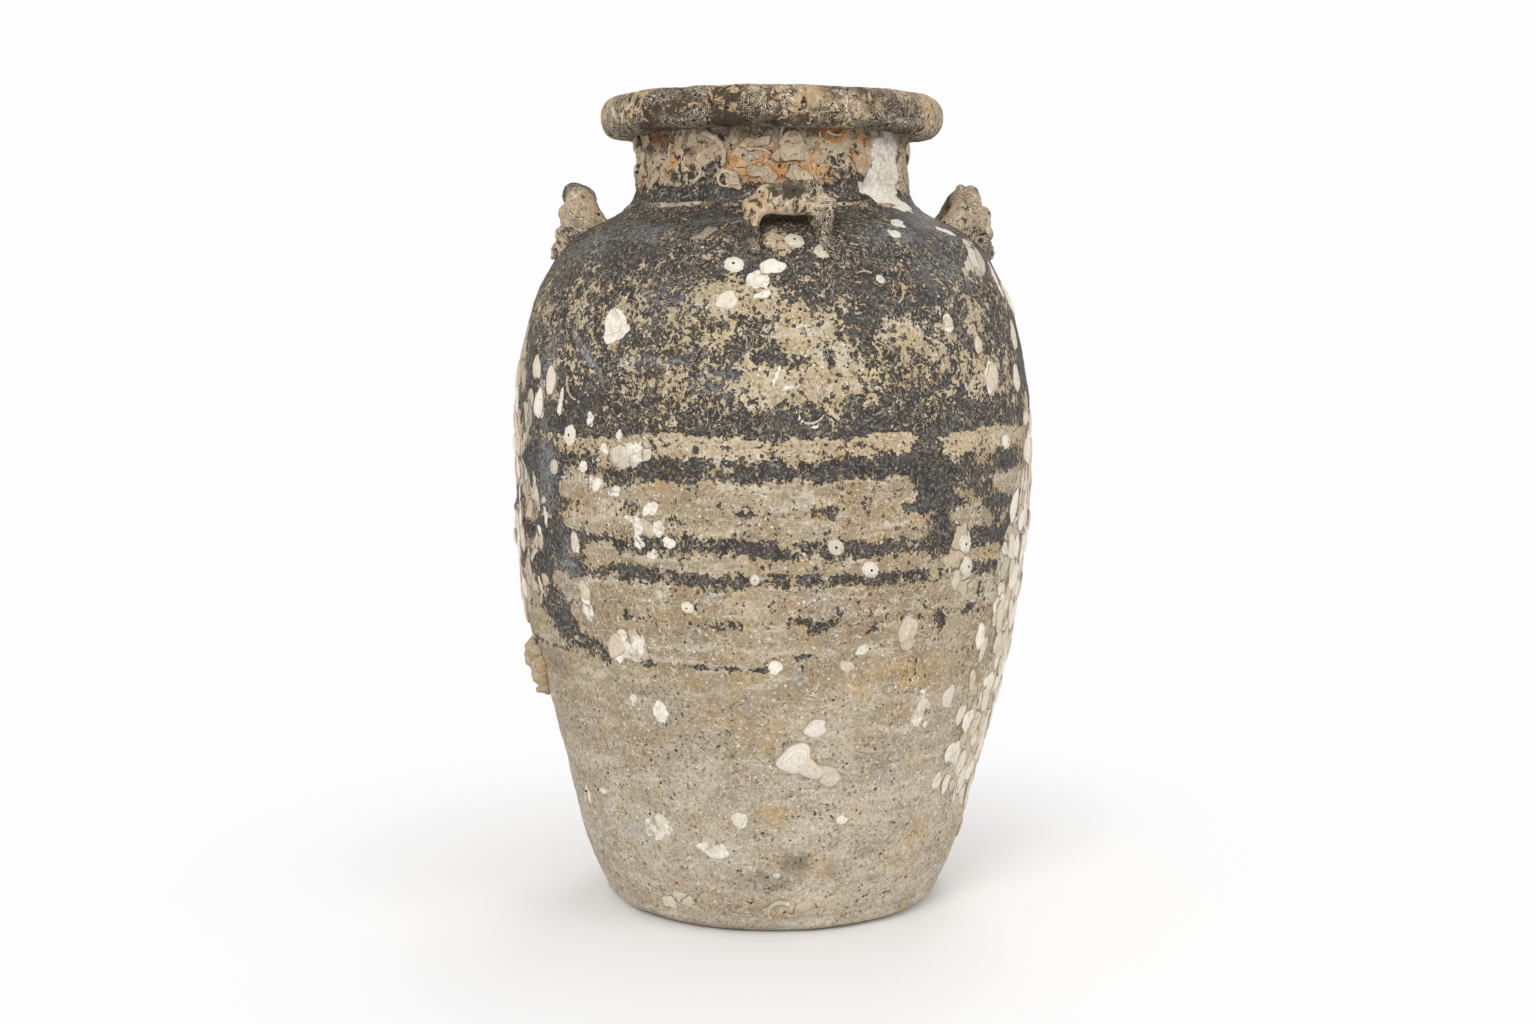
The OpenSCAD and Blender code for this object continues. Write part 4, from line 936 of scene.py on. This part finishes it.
def plateMaterial():
    material, tree = newMaterial("neckCrust")
    place = put(tree, "ShaderNodeTexCoord").outputs["Object"]
    edge, number, rusty, dark = split(tree, "mark")
    crust = useGroup(tree, neckLayers, {"Vector": moved(tree, place, (0.03, 0.01, 0)),
                                        "Rust": fade(tree, rusty, 0.6, 0.9, 0.0, 0.6),
                                        "Dark": fade(tree, number, 0.7, 1.0, 0.0, 0.25)})
    # Dark edges where the plates meet the neck, partly stain and partly painted shade.
    colour = mixColour(tree, fade(tree, edge, 0.86, 1.0, 0.0, 0.85), crust["Color"], (0.09, 0.055, 0.03))
    finishMaterial(tree, colour, 0.85, crust["Height"], 0.0010)
    return material


crustMaterial = plateMaterial()


def manyBalls(name, count, sides, rings):
    bm = bmesh.new()
    bmesh.ops.create_uvsphere(bm, u_segments=sides, v_segments=rings, radius=mm)
    one = bpy.data.meshes.new(name)
    bm.to_mesh(one)
    bm.free()
    bm = bmesh.new()  # a fresh one keeps each copy's points together
    for _ in range(count):
        bm.from_mesh(one)
    mesh = bpy.data.meshes.new(name)
    bm.to_mesh(mesh)
    bm.free()
    bpy.data.meshes.remove(one)
    ball = readPoints(mesh).reshape(count, -1, 3)
    around = np.arctan2(ball[..., 1], ball[..., 0])
    return mesh, ball, around, np.arccos(np.clip(ball[..., 2], -1, 1)) / math.pi


def fuse(name, mesh, voxel):  # one skin over everything in the mesh
    helper = bpy.data.objects.new(name, mesh)
    bpy.context.scene.collection.objects.link(helper)
    skin = helper.modifiers.new("skin", "REMESH")
    skin.mode = "VOXEL"
    skin.voxel_size = voxel * mm
    graph = bpy.context.evaluated_depsgraph_get()
    fused = bpy.data.meshes.new_from_object(helper.evaluated_get(graph))
    bpy.data.objects.remove(helper)
    fused.name = name
    return fused


def overWall(angle, z, u, v, lift):  # u across and v up from a place on the wall
    high = z + v * outNormal(z)[0]
    return onWall(angle + np.degrees(u / outerR(high)), high, lift)


def reliefAt(angle, z):  # the wall's own relief under a piece
    points = onWall(angle, z)
    return sum(wallRelief(points, angle, z, glazeCover(points, angle, z)))


# Shells: angle, height, length, width, rise and turn of each.
def growShells(name, shells, material, node, seed, curl=0.0, ragged=1.0, sides=20, rings=9):
    shells = np.array(shells, float)
    mesh, ball, around, share = manyBalls(name, len(shells), sides, rings)
    rng = np.random.default_rng(seed)
    angle, z, length, width, rise, turn = (shells[:, k:k + 1] for k in range(6))
    phase = rng.uniform(0, math.tau, (4, len(shells), 1))
    outline = 1 + ragged * (0.10 * np.sin(2 * around + phase[0]) + 0.09 * np.sin(3 * around + phase[1])
                            + 0.06 * np.sin(5 * around + phase[2]))
    flat = np.hypot(ball[..., 0], ball[..., 1])
    a, b = flat * outline * np.cos(around) * length / 2, flat * outline * np.sin(around) * width / 2
    c, s = np.cos(np.radians(turn)), np.sin(np.radians(turn))
    dome = np.clip(ball[..., 2], 0, 1) ** 0.75
    steps = 0.09 * np.sin(flat * 17 + phase[3]) * np.clip(ball[..., 2], 0, 1)
    lean = 0.25 * rise * flat * np.cos(around + phase[1])
    lift = rise * (dome + steps) + lean + curl * flat**3 * (0.5 + 0.5 * np.sin(3 * around + phase[2]))
    lift = np.where(ball[..., 2] > -0.05, lift, lift * 0.2 - 1.4 + 0.3 * curl)
    lift = lift + reliefAt(shells[:, 0], shells[:, 1])[:, None]
    points = overWall(angle, z, a * c - b * s, a * s + b * c, lift)
    points += 0.22 * cloud(points.reshape(-1, 3), 5, seed, 2).reshape(flat.shape)[..., None]
    writePoints(mesh, points.reshape(-1, 3))
    edge = np.where(ball[..., 2] > -0.05, flat, 1)
    numbers = np.broadcast_to(rng.uniform(0, 1, (len(shells), 1)), flat.shape)
    pinks = np.broadcast_to(rng.uniform(0, 1, (len(shells), 1)), flat.shape)
    keepColours(mesh, "mark", [x.ravel() for x in (edge, numbers, pinks, np.zeros(flat.shape))])
    return addPiece(name, mesh, material, [node] if node else [])


# Barnacles: angle, height, width and rise of each. The shares run from the hole's floor, over the lip,
# down the outside and under.
def barnaclePoints(ball, around, share, items, rng):
    angle, z, width, rise = (items[:, k:k + 1] for k in range(4))
    phase = rng.uniform(0, math.tau, (3, len(items), 1))
    knots = [0, 0.14, 0.30, 0.40, 0.72, 0.86, 1]
    radius = np.interp(share, knots, [0, 0.12, 0.16, 0.34, 0.84, 1.0, 0]) * width / 2
    height = np.interp(share, knots, [0.30, 0.36, 0.92, 1.0, 0.42, 0.0, -0.3]) * rise
    ribs = 1 + 0.03 * np.sin(6 * around + phase[0]) + 0.05 * np.sin(13 * around + phase[1])
    radius = radius * ribs * (1 + 0.1 * np.sin(2 * around + phase[2]))
    lift = height + reliefAt(items[:, 0], items[:, 1])[:, None]
    return overWall(angle, z, radius * np.cos(around), radius * np.sin(around), lift)


def growBarnacles(name, items, material, node, seed):
    items = np.array(items, float)
    mesh, ball, around, share = manyBalls(name, len(items), 24, 14)
    rng = np.random.default_rng(seed)
    writePoints(mesh, barnaclePoints(ball, around, share, items, rng).reshape(-1, 3))
    # painted shade: the hole's floor is marked to go near-black
    dark = (share < 0.24).astype(float)
    edge = np.interp(share, [0.3, 0.9], [0.2, 1.0])
    numbers = np.broadcast_to(rng.uniform(0, 1, (len(items), 1)), share.shape)
    keepColours(mesh, "mark", [x.ravel() for x in (edge, numbers, 0 * edge, dark)])
    return addPiece(name, mesh, material, [node])


# Worm tubes: angle, height, bend, sweep, turn, half thickness and how fast the bend opens.
def tubePoints(around, share, items):
    angle, z, bend, sweep, turn, thick, opening = (items[:, k:k + 1] for k in range(7))
    along = np.clip((share - 0.04) / 0.92, 0, 1)
    cap = np.clip(np.minimum(share, 1 - share) / 0.04, 0, 1) ** 0.5
    aim = np.radians(turn + sweep * along)
    reach = bend * (1 + opening * along)
    wobble = 1 + 0.16 * np.sin(along * 31 + angle) + 0.12 * np.sin(along * 53 + z)
    half = thick * cap * (1 - 0.45 * along) * wobble
    reach = reach + half * np.cos(around)
    lift = half * np.sin(around) + thick * 0.55
    lift = lift + reliefAt(items[:, 0], items[:, 1])[:, None]
    start = np.radians(turn)
    across, up = reach * np.cos(aim) - bend * np.cos(start), reach * np.sin(aim) - bend * np.sin(start)
    return overWall(angle, z, across, up, lift), along


def growTubes(name, items, material, node, seed):
    items = np.array(items, float)
    mesh, ball, around, share = manyBalls(name, len(items), 9, 44)
    points, along = tubePoints(around, share, items)
    points = points + 0.15 * cloud(points.reshape(-1, 3), 3, seed, 2).reshape(share.shape)[..., None]
    writePoints(mesh, points.reshape(-1, 3))
    rng = np.random.default_rng(seed)
    numbers = np.broadcast_to(rng.uniform(0, 1, (len(items), 1)), share.shape)
    # painted shade: the underside towards the wall is marked as the dark edge
    under = np.clip(0.55 - 0.6 * np.sin(around), 0, 1)
    # painted shade: the tube's open mouth is marked to go near-black
    dark = (share < 0.03).astype(float)
    keepColours(mesh, "mark", [x.ravel() for x in (under, numbers, 0 * under, dark)])
    return addPiece(name, mesh, material, [node])


def roughen(mesh, seed, amount, pitSize, tint):  # noise and pits along the normals, with painted shade kept for the pits and hollows
    points = readPoints(mesh)
    normals = np.empty(len(points) * 3, np.float32)
    mesh.vertices.foreach_get("normal", normals)
    gap, number = scatter(points, pitSize, seed)
    pit = smooth(0.30, 0.14, gap) * (number > 0.1)
    bumps = cloud(points, 11, seed, 3) + 0.35 * np.abs(grain(points, 3.5, seed + 3))
    points = points + normals.reshape(-1, 3) * (amount * bumps - 0.9 * amount * pit)[:, None]
    writePoints(mesh, points)
    # painted shade: darker in the pits and between the bumps
    hollowShade = np.clip(0.55 + 0.3 * bumps - 0.5 * pit, 0, 1)
    stainAndShade, ochre, white = tint(points)
    keepColours(mesh, "mark", (stainAndShade, ochre, hollowShade, white))


# Rim: a heavy roll of clay, worn and uneven.
def makeRim():
    rim = {"outer": 127.5, "bottom": 571, "top": 600, "mouth": 91, "columns": 620}
    tube = (rim["top"] - rim["bottom"]) / 2
    middle = rim["bottom"] + tube
    outline = [(101.9, 572.5), (104, rim["bottom"] + 0.4), (108, rim["bottom"] + 0.1)]
    for k in range(27):
        turn = math.radians(-90 + 180 * k / 26)
        squarish = abs(math.cos(turn)) ** 0.72
        outline.append((rim["outer"] - tube + tube * squarish, middle + tube * math.sin(turn)))
    outline += [(x, rim["top"] - 0.0007 * (113 - x) ** 2) for x in (109, 105, 101, 97)]
    outline += [(94, rim["top"] - 0.9), (92, rim["top"] - 2.2), (91.2, rim["top"] - 4), (91, 592), (91, 588), (91, 584.5)]
    outline += [(91, 581.2), (96, 581.2), (101.9, 581.2), (101.9, 577)]
    mesh = turnMesh("rimRoll", outline, rim["columns"])
    points = readPoints(mesh)
    angle, radius = polar(points)
    z = points[:, 2]
    free = smooth(101, 106, radius) + smooth(590, 598, z)
    gap, number = scatter(points, 9, 51)
    pit = smooth(0.24, 0.10, gap) * (number > 0.15)
    gap, number = scatter(points, 21, 52)
    chip = smooth(0.26, 0.12, gap) * (number > 0.3)
    bumps = 0.9 * cloud(points, 60, 53, 2) + 0.75 * cloud(points, 15, 54, 3) + 0.3 * np.abs(grain(points, 5, 55))
    push = bumps - 1.5 * pit - 1.3 * chip - 0.5
    drop = smooth(580, 572, z) * np.exp(-((apart(angle, 62) / 14) ** 2)) * 3.0
    drop += smooth(580, 572, z) * np.exp(-((apart(angle, -72) / 20) ** 2)) * 1.6
    centre = rim["outer"] - tube
    out, up = radius - centre, z - middle
    size = np.maximum(np.hypot(out, up), 6)
    push = push * np.clip(free, 0, 1)
    turn = np.radians(angle)
    points[:, 0] += push * out / size * np.sin(turn)
    points[:, 1] -= push * out / size * np.cos(turn)
    points[:, 2] += push * up / size - drop * np.clip(free, 0, 1)
    points[:, 2] += 0.8 * cloud(points * (1, 1, 0), 90, 57, 2) * np.clip(free, 0, 1)
    writePoints(mesh, points)
    # Stains on the rim, with painted shade on the roll's underside; the top is kept less dark.
    stainAndShade = 0.66 * np.exp(-((apart(angle, -38) / 28) ** 2)) + 0.35 * np.exp(-((apart(angle, -5) / 18) ** 2))
    stainAndShade += 0.42 * np.exp(-((apart(angle, 28) / 9) ** 2)) * smooth(582, 592, z)
    stainAndShade += 0.40 * np.exp(-((apart(angle, 48) / 7) ** 2)) * smooth(596, 588, z)
    stainAndShade += 0.35 * smooth(584, 574, z) + 0.3 * cloud(points, 50, 58, 2) * (np.abs(angle) > 60) + 0.1
    stainAndShade -= 0.25 * smooth(592, 598, z)
    ochre = 0.8 * np.exp(-((apart(angle, 22) / 10) ** 2)) + 0.7 * np.exp(-((apart(angle, 55) / 9) ** 2)) + 0.1
    white = marked(angle, z, [(-68, 586, 1.5, 5, 30, 0.8), (-62, 582, 1.2, 5, -30, 0.8), (-57, 588, 4, 1.2, 20, 0.7), (42, 578, 4, 1.5, 0, 0.5)],
                   cloud(points, 5, 59, 2))
    # Painted shade: the pits, chips and dips of the roll are marked for darkening.
    keepColours(mesh, "mark", (stainAndShade, ochre, np.clip(0.6 + 0.4 * push, 0, 1), np.clip(white, 0, 1)))
    addPiece("rimRoll", mesh, rimMaterial, ["rim_roll"])


# Pale coil over the joint between neck and shoulder, broken here and there.
def makeCoil():
    coil = {"z": 519, "half": 3, "sides": 10}
    centre = float(outerR(coil["z"]))
    steps = [math.tau * k / coil["sides"] for k in range(coil["sides"])]
    outline = [(centre + coil["half"] * math.cos(s), coil["z"] + coil["half"] * math.sin(s)) for s in steps]
    mesh = turnMesh("collarCoil", outline, 560)
    points = readPoints(mesh)
    angle, radius = polar(points)
    thin = 0.5 + 0.9 * cloud(points * (1, 1, 0), 26, 61, 3)
    lower = 2.0 * smooth(0.3, 0.8, thin) + 1.2 * np.exp(-((apart(angle, 4) / 14) ** 2)) + 1.3
    bumps = 0.35 * cloud(points, 5, 62, 2)
    outwards, upwards = outNormal(points[:, 2])
    push, turn = bumps - lower, np.radians(angle)
    points[:, 0] += push * outwards * np.sin(turn)
    points[:, 1] -= push * outwards * np.cos(turn)
    points[:, 2] += push * upwards + 0.7 * grain(points * (1, 1, 0), 50, 63)
    writePoints(mesh, points)
    stainAndShade = 0.5 + 0.5 * grain(points, 20, 64)
    keepColours(mesh, "mark", (stainAndShade, 0.1 + 0 * stainAndShade, 0.6 + 0 * stainAndShade, 0 * stainAndShade))
    addPiece("collarCoil", mesh, coilMaterial, ["collar_coil"])


# Lugs: straps of clay arched over an eye, with their feet smeared on the shoulder.
lugShape = {"span": 49, "rise": 23.5, "bar": 9.5, "depth": 11, "foot": 19, "seatR": 141, "seatZ": 502,
            "square": 0.62}
shoulderHeights = np.linspace(420, 519, 300)
shoulderRadii = outerR(shoulderHeights)


def shoulderZ(r):
    return np.interp(r, shoulderRadii[::-1], shoulderHeights[::-1])


def lugPoints(around, share, taller, outward, swell, leg):
    g = lugShape
    p = np.clip((share - 0.05) / 0.9, 0, 1)
    cap = np.clip(np.minimum(share, 1 - share) / 0.05, 0, 1)
    a = np.pi * p
    squared = lambda v: np.sign(v) * np.abs(v) ** g["square"]
    x = g["span"] / 2 * squared(np.cos(a))
    h = (g["rise"] + taller) * squared(np.clip(np.sin(a), 0, 1))
    e = 0.035
    dx = squared(np.cos(a + e)) - squared(np.cos(a - e))
    dh = squared(np.clip(np.sin(a + e), 0, 1)) - squared(np.clip(np.sin(a - e), 0, 1))
    size = np.hypot(g["span"] / 2 * dx, g["rise"] * dh) + 1e-6
    outX, outH = g["rise"] * dh / size, -g["span"] / 2 * dx / size
    top = np.sin(a) ** 2
    thick = (leg + (g["bar"] - leg) * top) * (1 + swell * np.sin(5 * a) * top)
    deep = g["depth"] + (g["foot"] - g["depth"]) * np.clip(1 - h / g["rise"], 0, 1) ** 1.6
    o = thick * np.cos(around) * cap
    side = x + o * outX
    level = np.clip((h + o * outH) / g["rise"], 0, 1.4)
    reach = g["seatR"] + deep * np.sin(around) * cap + outward * level
    surface = shoulderZ(np.hypot(side, reach))
    base = surface + (g["seatZ"] - surface) * np.clip(level, 0, 1) ** 2
    return np.stack([side, -reach, base - 1.5 + np.maximum(h + o * outH, -2)], -1)


def joinMeshes(name, meshes):
    bm = bmesh.new()
    for mesh in meshes:
        bm.from_mesh(mesh)
    joined = bpy.data.meshes.new(name)
    bm.to_mesh(joined)
    bm.free()
    return joined


# Each lug: turn, taller, outward, swell, leg, darkening, and its smears (angle, height, bend, sweep, turn,
# half thickness, opening) and knobs (x, outwards, up, half size), before it is turned.
lugs = {
    "front": (0, -3.0, 0, 0.05, 4.6, 0.34, [
        (-9.4, 498, 60, 24, 180, 4.8, 0.0), (9.0, 499, 40, 46, 180, 4.2, 0.2), (7.5, 506, 40, 24, 186, 4.2, 0.0),
    ], [(-13, 145, 522, 9), (15.5, 145, 523.5, 9.2), (-24, 146, 515, 7), (24.5, 146, 517, 7.5), (1.5, 146.5, 526, 7.6),
        (-25, 147, 508, 5.5), (25, 147, 508, 6), (27, 149, 500, 3.6), (5, 148, 517, 6), (-7, 148, 518, 6)]),
    "left": (-90, 2.4, 1.5, 0.05, 6.5, -0.08, [
        (-9.5, 498, 50, 30, 180, 6.0, 0.0), (9.5, 499, 50, -30, 0, 6.5, 0.0), (2, 496, 40, 30, 180, 4, 0.1),
    ], [(-16, 145, 524, 10), (16, 143, 525, 10), (0, 147, 529, 9), (12, 152, 515, 7), (-24, 148, 508, 8),
        (25, 150, 507, 8), (20, 156, 500, 6)]),
    "right": (90, 1.4, 3.0, 0.08, 6.5, -0.1, [
        (-9.5, 498, 50, 30, 180, 6.5, 0.0), (9.5, 499, 50, -30, 0, 6.0, 0.0), (-4, 496, 40, 30, 180, 4.5, 0.1),
    ], [(-16, 146, 523, 10), (15, 146, 524, 10), (-3, 149, 529, 8), (9, 151, 527, 6), (-26, 153, 509, 8),
        (-16, 156, 514, 7), (25, 150, 507, 8), (-28, 157, 500, 6), (-14, 140, 533, 4)]),
    "back": (180, -1.0, 0.5, 0.08, 5.5, 0.1, [
        (-9.5, 498, 50, 28, 180, 5.5, 0.0), (9.5, 499, 50, -28, 0, 5.5, 0.0),
    ], [(-16, 146, 524, 9), (16, 146, 524, 9), (0, 148, 525, 8), (-25, 148, 508, 7), (25, 148, 508, 7)]),
}


def makeLug(name, turn, taller, outward, swell, leg, darkening, smears, knobs):
    mesh, ball, around, share = manyBalls(name, 1, 28, 60)
    writePoints(mesh, lugPoints(around, share, taller, outward, swell, leg).reshape(-1, 3))
    tubes, tubeBall, tubeAround, tubeShare = manyBalls(name, len(smears), 14, 24)
    strips = np.array(smears, float)
    writePoints(tubes, tubePoints(tubeAround, tubeShare, strips)[0].reshape(-1, 3) - (0, 0, 1.2))
    balls, ball, _, _ = manyBalls(name, len(knobs), 16, 10)
    spots = np.array([(x, -out, up) for x, out, up, half in knobs], float)[:, None, :]
    halves = np.array([half for x, out, up, half in knobs], float)[:, None, None]
    writePoints(balls, (spots + ball * halves).reshape(-1, 3))
    fused = fuse(name, joinMeshes(name, [mesh, tubes, balls]), 1.15)
    fused.transform(Matrix.Rotation(math.radians(turn), 4, "Z"))
    seed = 70 + abs(turn)

    def tint(points):
        angle = apart(polar(points)[0], turn)
        z = points[:, 2]
        mottled = smooth(516, 525, z) * np.exp(-((apart(angle, 0.5) / 3.4) ** 2)) * 0.75
        # stains, with painted shade on the feet low on the shoulder
        stainAndShade = mottled + 0.35 * smooth(508, 500, z) + 0.25 * cloud(points, 18, seed + 5, 2) + 0.12 + darkening
        ochre = 0.35 + 0.5 * grain(points, 16, seed + 6)
        white = 0.8 * smooth(0.25, 0.5, cloud(points, 6, seed + 7, 2)) * (mottled > 0.3)
        return stainAndShade, ochre, white

    roughen(fused, seed, 1.35, 8, tint)
    addPiece(name, fused, lugMaterial, ["lug_" + name[3:].lower()])


makeRim()
makeCoil()
for side, (turn, *rest) in lugs.items():
    makeLug("lug" + side.capitalize(), turn, *rest)
print("rim, coil and lugs made")


def spread(seed, low, high, bottom, top, pitch, size, rise, keep=1.0, along=90):
    rng = random.Random(seed)
    shells = []
    colony = ((low + high) / 2, (bottom + top) / 2, (high - low) / 2, (top - bottom) / 2)
    z = bottom
    while z < top:
        step = math.degrees(pitch[0] / float(outerR(z)))
        angle = low + rng.uniform(0, step)
        while angle < high:
            if rng.random() < keep and inColony(angle, z, colony) < rng.uniform(0.85, 1.1):
                grown = rng.uniform(0.72, 1.25)
                shells.append((angle + rng.uniform(-0.3, 0.3) * step, z + rng.uniform(-0.35, 0.35) * pitch[1],
                               size[0] * grown, size[1] * grown * rng.uniform(0.8, 1.15),
                               rise * rng.uniform(0.6, 1.4), along + rng.uniform(-38, 38)))
            angle += step
        z += pitch[1]
    return shells


flank = spread(1, 58, 110, 50, 366, (14, 17), (22, 14), 1.5, 0.82) + spread(2, 46, 62, 60, 262, (14, 20), (17, 11), 1.2, 0.6)
flank += [(58, 226, 27, 15, 2.6, 80), (64, 250, 24, 17, 2.6, 70), (70, 270, 26, 17, 2.6, 85), (60, 205, 20, 14, 2, 60),
          (52, 150, 20, 14, 2.0, 60), (47, 128, 16, 11, 1.6, 80), (55, 116, 20, 12, 2, 100), (44, 108, 14, 10, 1.4, 90)]
growShells("oystersRightFlank", flank, oysterMaterial, "oysters_right_flank", 5)
leftFlank = spread(3, -116, -74, 200, 416, (15, 18), (22, 12), 2.0, 0.75)
leftFlank += spread(4, -74, -62, 230, 400, (17, 26), (17, 9), 0.9, 0.42)
leftFlank += [(-48.2, 251, 16, 11, 1.4, 95), (-50, 285, 17, 7, 1.2, 80), (-40.5, 214, 20, 15, 1.0, 70)]
growShells("oystersLeftFlank", leftFlank, oysterMaterial, "oysters_left_flank", 6)
backShells = spread(5, 136, 178, 72, 184, (15, 17), (24, 16), 2.4, 0.9)
backShells += spread(6, -168, -136, 245, 337, (15, 17), (23, 15), 2.2, 0.9)
growShells("oystersBack", backShells, oysterMaterial, "oysters_back", 7)
single = [(-58.5, 396, 12, 24, 2.4, 8), (-62.7, 379, 13, 22, 2.4, -6), (-66, 404, 12, 20, 2.2, 20), (-14, 452, 17, 12, 0.9, 10),
          (46, 421, 14, 9, 1.6, 70), (50, 398, 19, 17, 1.6, 70), (63, 396, 20, 14, 1.8, 95), (66, 426, 22, 12, 1.6, 80),
          (118, 432, 22, 17, 2.4, 50), (-140, 418, 21, 17, 2.2, 120), (37, 437, 8, 8, 1.2, 0), (-4.3, 474, 17, 13, 1.8, 5),
          (-41, 437, 14, 20, 0.8, 30), (71, 452, 24, 12, 1.8, 100), (97, 410, 20, 14, 2, 30), (-97, 432, 18, 15, 2.2, 50)]
growShells("oystersShoulder", single, oysterMaterial, "oysters_shoulder", 8)
saddle = [(1.2, 139, 25, 24, 3.2, -20), (4.6, 132, 22, 15, 3.6, -35), (9.6, 125, 19, 15, 3.0, -30),
          (5.6, 161, 18, 13, 2.0, 25), (25.8, 228, 22, 15, 2.2, 80), (12, 205, 12, 8, 1.4, -40),
          (-13, 92, 10, 10, 1.2, 30), (15.3, 216, 11, 7, 1.2, 20), (41.3, 173, 18, 12, 1.6, 60),
          (33, 169, 15, 11, 1.4, 90)]
growShells("saddleOysters", saddle, barnacleMaterial, "saddle_oysters", 9)
discs = [(-50.8, 359.3, 14, 1.4), (-56, 336, 10, 2.4), (-13.2, 476, 13, 2.6), (8.3, 485, 13, 1.6), (1.2, 491, 13, 2.2), (16, 272, 12, 3),
         (8.6, 288, 12, 1.6), (-22, 246, 9, 2.6), (41, 268, 13, 3), (70, 366, 12, 3), (105, 300, 14, 3.6), (140, 372, 13, 3),
         (176, 246, 15, 4), (-128, 150, 14, 3.6), (-150, 366, 12, 3), (-112, 400, 11, 2.6), (40, 284, 13, 1.6), (-7.7, 267, 7, 2.2),
         (21, 466, 7, 1.2), (55, 352, 11, 2.6)]
growBarnacles("acornBarnacles", discs, barnacleMaterial, "acorn_barnacles", 10)


def makeLump():
    rng = random.Random(12)
    cones = [(-87, 184, 24, 13), (-82, 172, 20, 11), (-89, 170, 19, 10), (-84, 192, 19, 9), (-92, 181, 18, 10),
             (-78, 182, 16, 8), (-86, 162, 16, 7)]
    cones += [(-86 + rng.uniform(-9, 9), 178 + rng.uniform(-18, 18), rng.uniform(8, 13), rng.uniform(6, 11)) for _ in range(10)]
    items = np.array(cones, float)
    mesh, ball, around, share = manyBalls("barnacleLump", len(items), 26, 18)
    writePoints(mesh, barnaclePoints(ball, around, share, items, np.random.default_rng(13)).reshape(-1, 3))
    base, ball, _, _ = manyBalls("lumpBase", 1, 24, 16)
    centre = overWall(-86, 178, 0, 0, 0.0)
    writePoints(base, (centre + ball * (9, 15, 18)).reshape(-1, 3))
    fused = fuse("barnacleLump", joinMeshes("barnacleLump", [mesh, base]), 0.9)
    points = readPoints(fused)
    angle, radius = polar(points)
    lift = radius - outerR(points[:, 2])
    points += 0.5 * cloud(points, 4, 14, 2)[:, None]
    writePoints(fused, points)
    # stain and painted shade: the base close to the wall is marked as the dark edge
    keepColours(fused, "mark", (np.clip(1.0 - lift / 9, 0, 1), 0.5 + 0.5 * grain(points, 9, 15),
                                np.clip(0.6 + 0.5 * grain(points, 11, 16), 0, 1), 0 * lift))
    addPiece("barnacleLump", fused, lumpMaterial, ["barnacle_lump"])


makeLump()
plates = spread(14, 74, 290, 543, 570, (26, 13), (24, 13), 1.3, 0.6, along=10)
plates += [(4.2, 557, 32, 18, 1.4, -8), (-19.7, 534, 14, 11, 2.4, -15), (-61, 538, 20, 7, 1.6, 60), (-70, 545, 12, 9, 3, 20),
           (-78, 556, 24, 15, 3.2, 10), (-84, 566, 26, 12, 3.6, 0), (-11.5, 561, 20, 10, 2.0, 8), (-70, 567, 22, 10, 2.6, 0),
           (6.1, 539, 18, 12, 1.8, 10), (-8, 540, 20, 12, 1.4, -10), (80, 561, 20, 14, 2.6, 10), (34, 548, 9, 20, 1.2, 14)]
growShells("neckCrust", plates, crustMaterial, "neck_crust", 11, curl=1.5, ragged=2.3, sides=30)
neckTubes = [(-33, 569, 18, -104, 84, 2.7, 0.0), (-0.3, 573, 30, -27, 0, 1.0, 0.0), (9.6, 558, 36, 40, 180, 1.1, 0.0),
             (-20, 538, 5.5, 300, 20, 1.3, 0.0), (15, 569, 26, 34, 190, 0.9, 0.0), (-14, 556, 16, -60, 110, 1.1, 0.0),
             (-36, 536, 6, 150, -60, 1.4, 0.2), (58, 535, 6, 130, 200, 1.4, 0), (130, 536, 8, 150, 20, 1.5, 0),
             (-152, 536, 8, 140, 100, 1.5, 0), (18, 570, 12, 60, 230, 1.0, 0), (-50, 563, 10, 90, 140, 1.4, 0.2),
             (-80, 545, 9, 120, 40, 1.8, 0.2), (70, 556, 10, 100, 60, 1.5, 0), (170, 556, 12, 120, 0, 1.5, 0.1),
             (-110, 560, 12, 120, 200, 1.5, 0.1), (100, 560, 11, 90, 100, 1.5, 0.1)]
growTubes("wormTubesNeck", neckTubes, tubeMaterial, "worm_tubes_neck", 17)
bodyTubes = [(1.5, 24, 8, 200, 20, 1.9, 0.1), (-0.5, 21, 5, 160, 200, 1.4, 0.1), (-8, 398, 12, 95, 10, 1.0, 0), (2, 372, 11, 80, 250, 1.0, 0),
             (-52, 400, 11, 100, 170, 1.2, 0.3), (-47, 86, 11, 100, 60, 1.3, 0), (27, 60, 11, 110, 200, 1.3, 0),
             (24, 450, 11, 70, 300, 0.8, 0), (100, 190, 11, 140, 30, 1.6, 0), (-110, 110, 11, 160, 120, 1.6, 0),
             (165, 330, 11, 120, 210, 1.6, 0), (-170, 200, 12, 130, 330, 1.6, 0), (19, 470, 9, 70, 60, 0.8, 0.1),
             (-30, 478, 10, 60, 100, 0.8, 0), (38, 462, 9, 60, 30, 0.8, 0),
             (-66, 92, 9, 60, 150, 1.6, 0.3), (-58, 98, 14, 30, 80, 1.4, 0), (-28, 80, 8, 100, 10, 1.0, 0), (35, 240, 10, 70, 200, 1.0, 0)]
growTubes("wormTubesBody", bodyTubes, tubeMaterial, "worm_tubes_body", 18)
print("growth made")
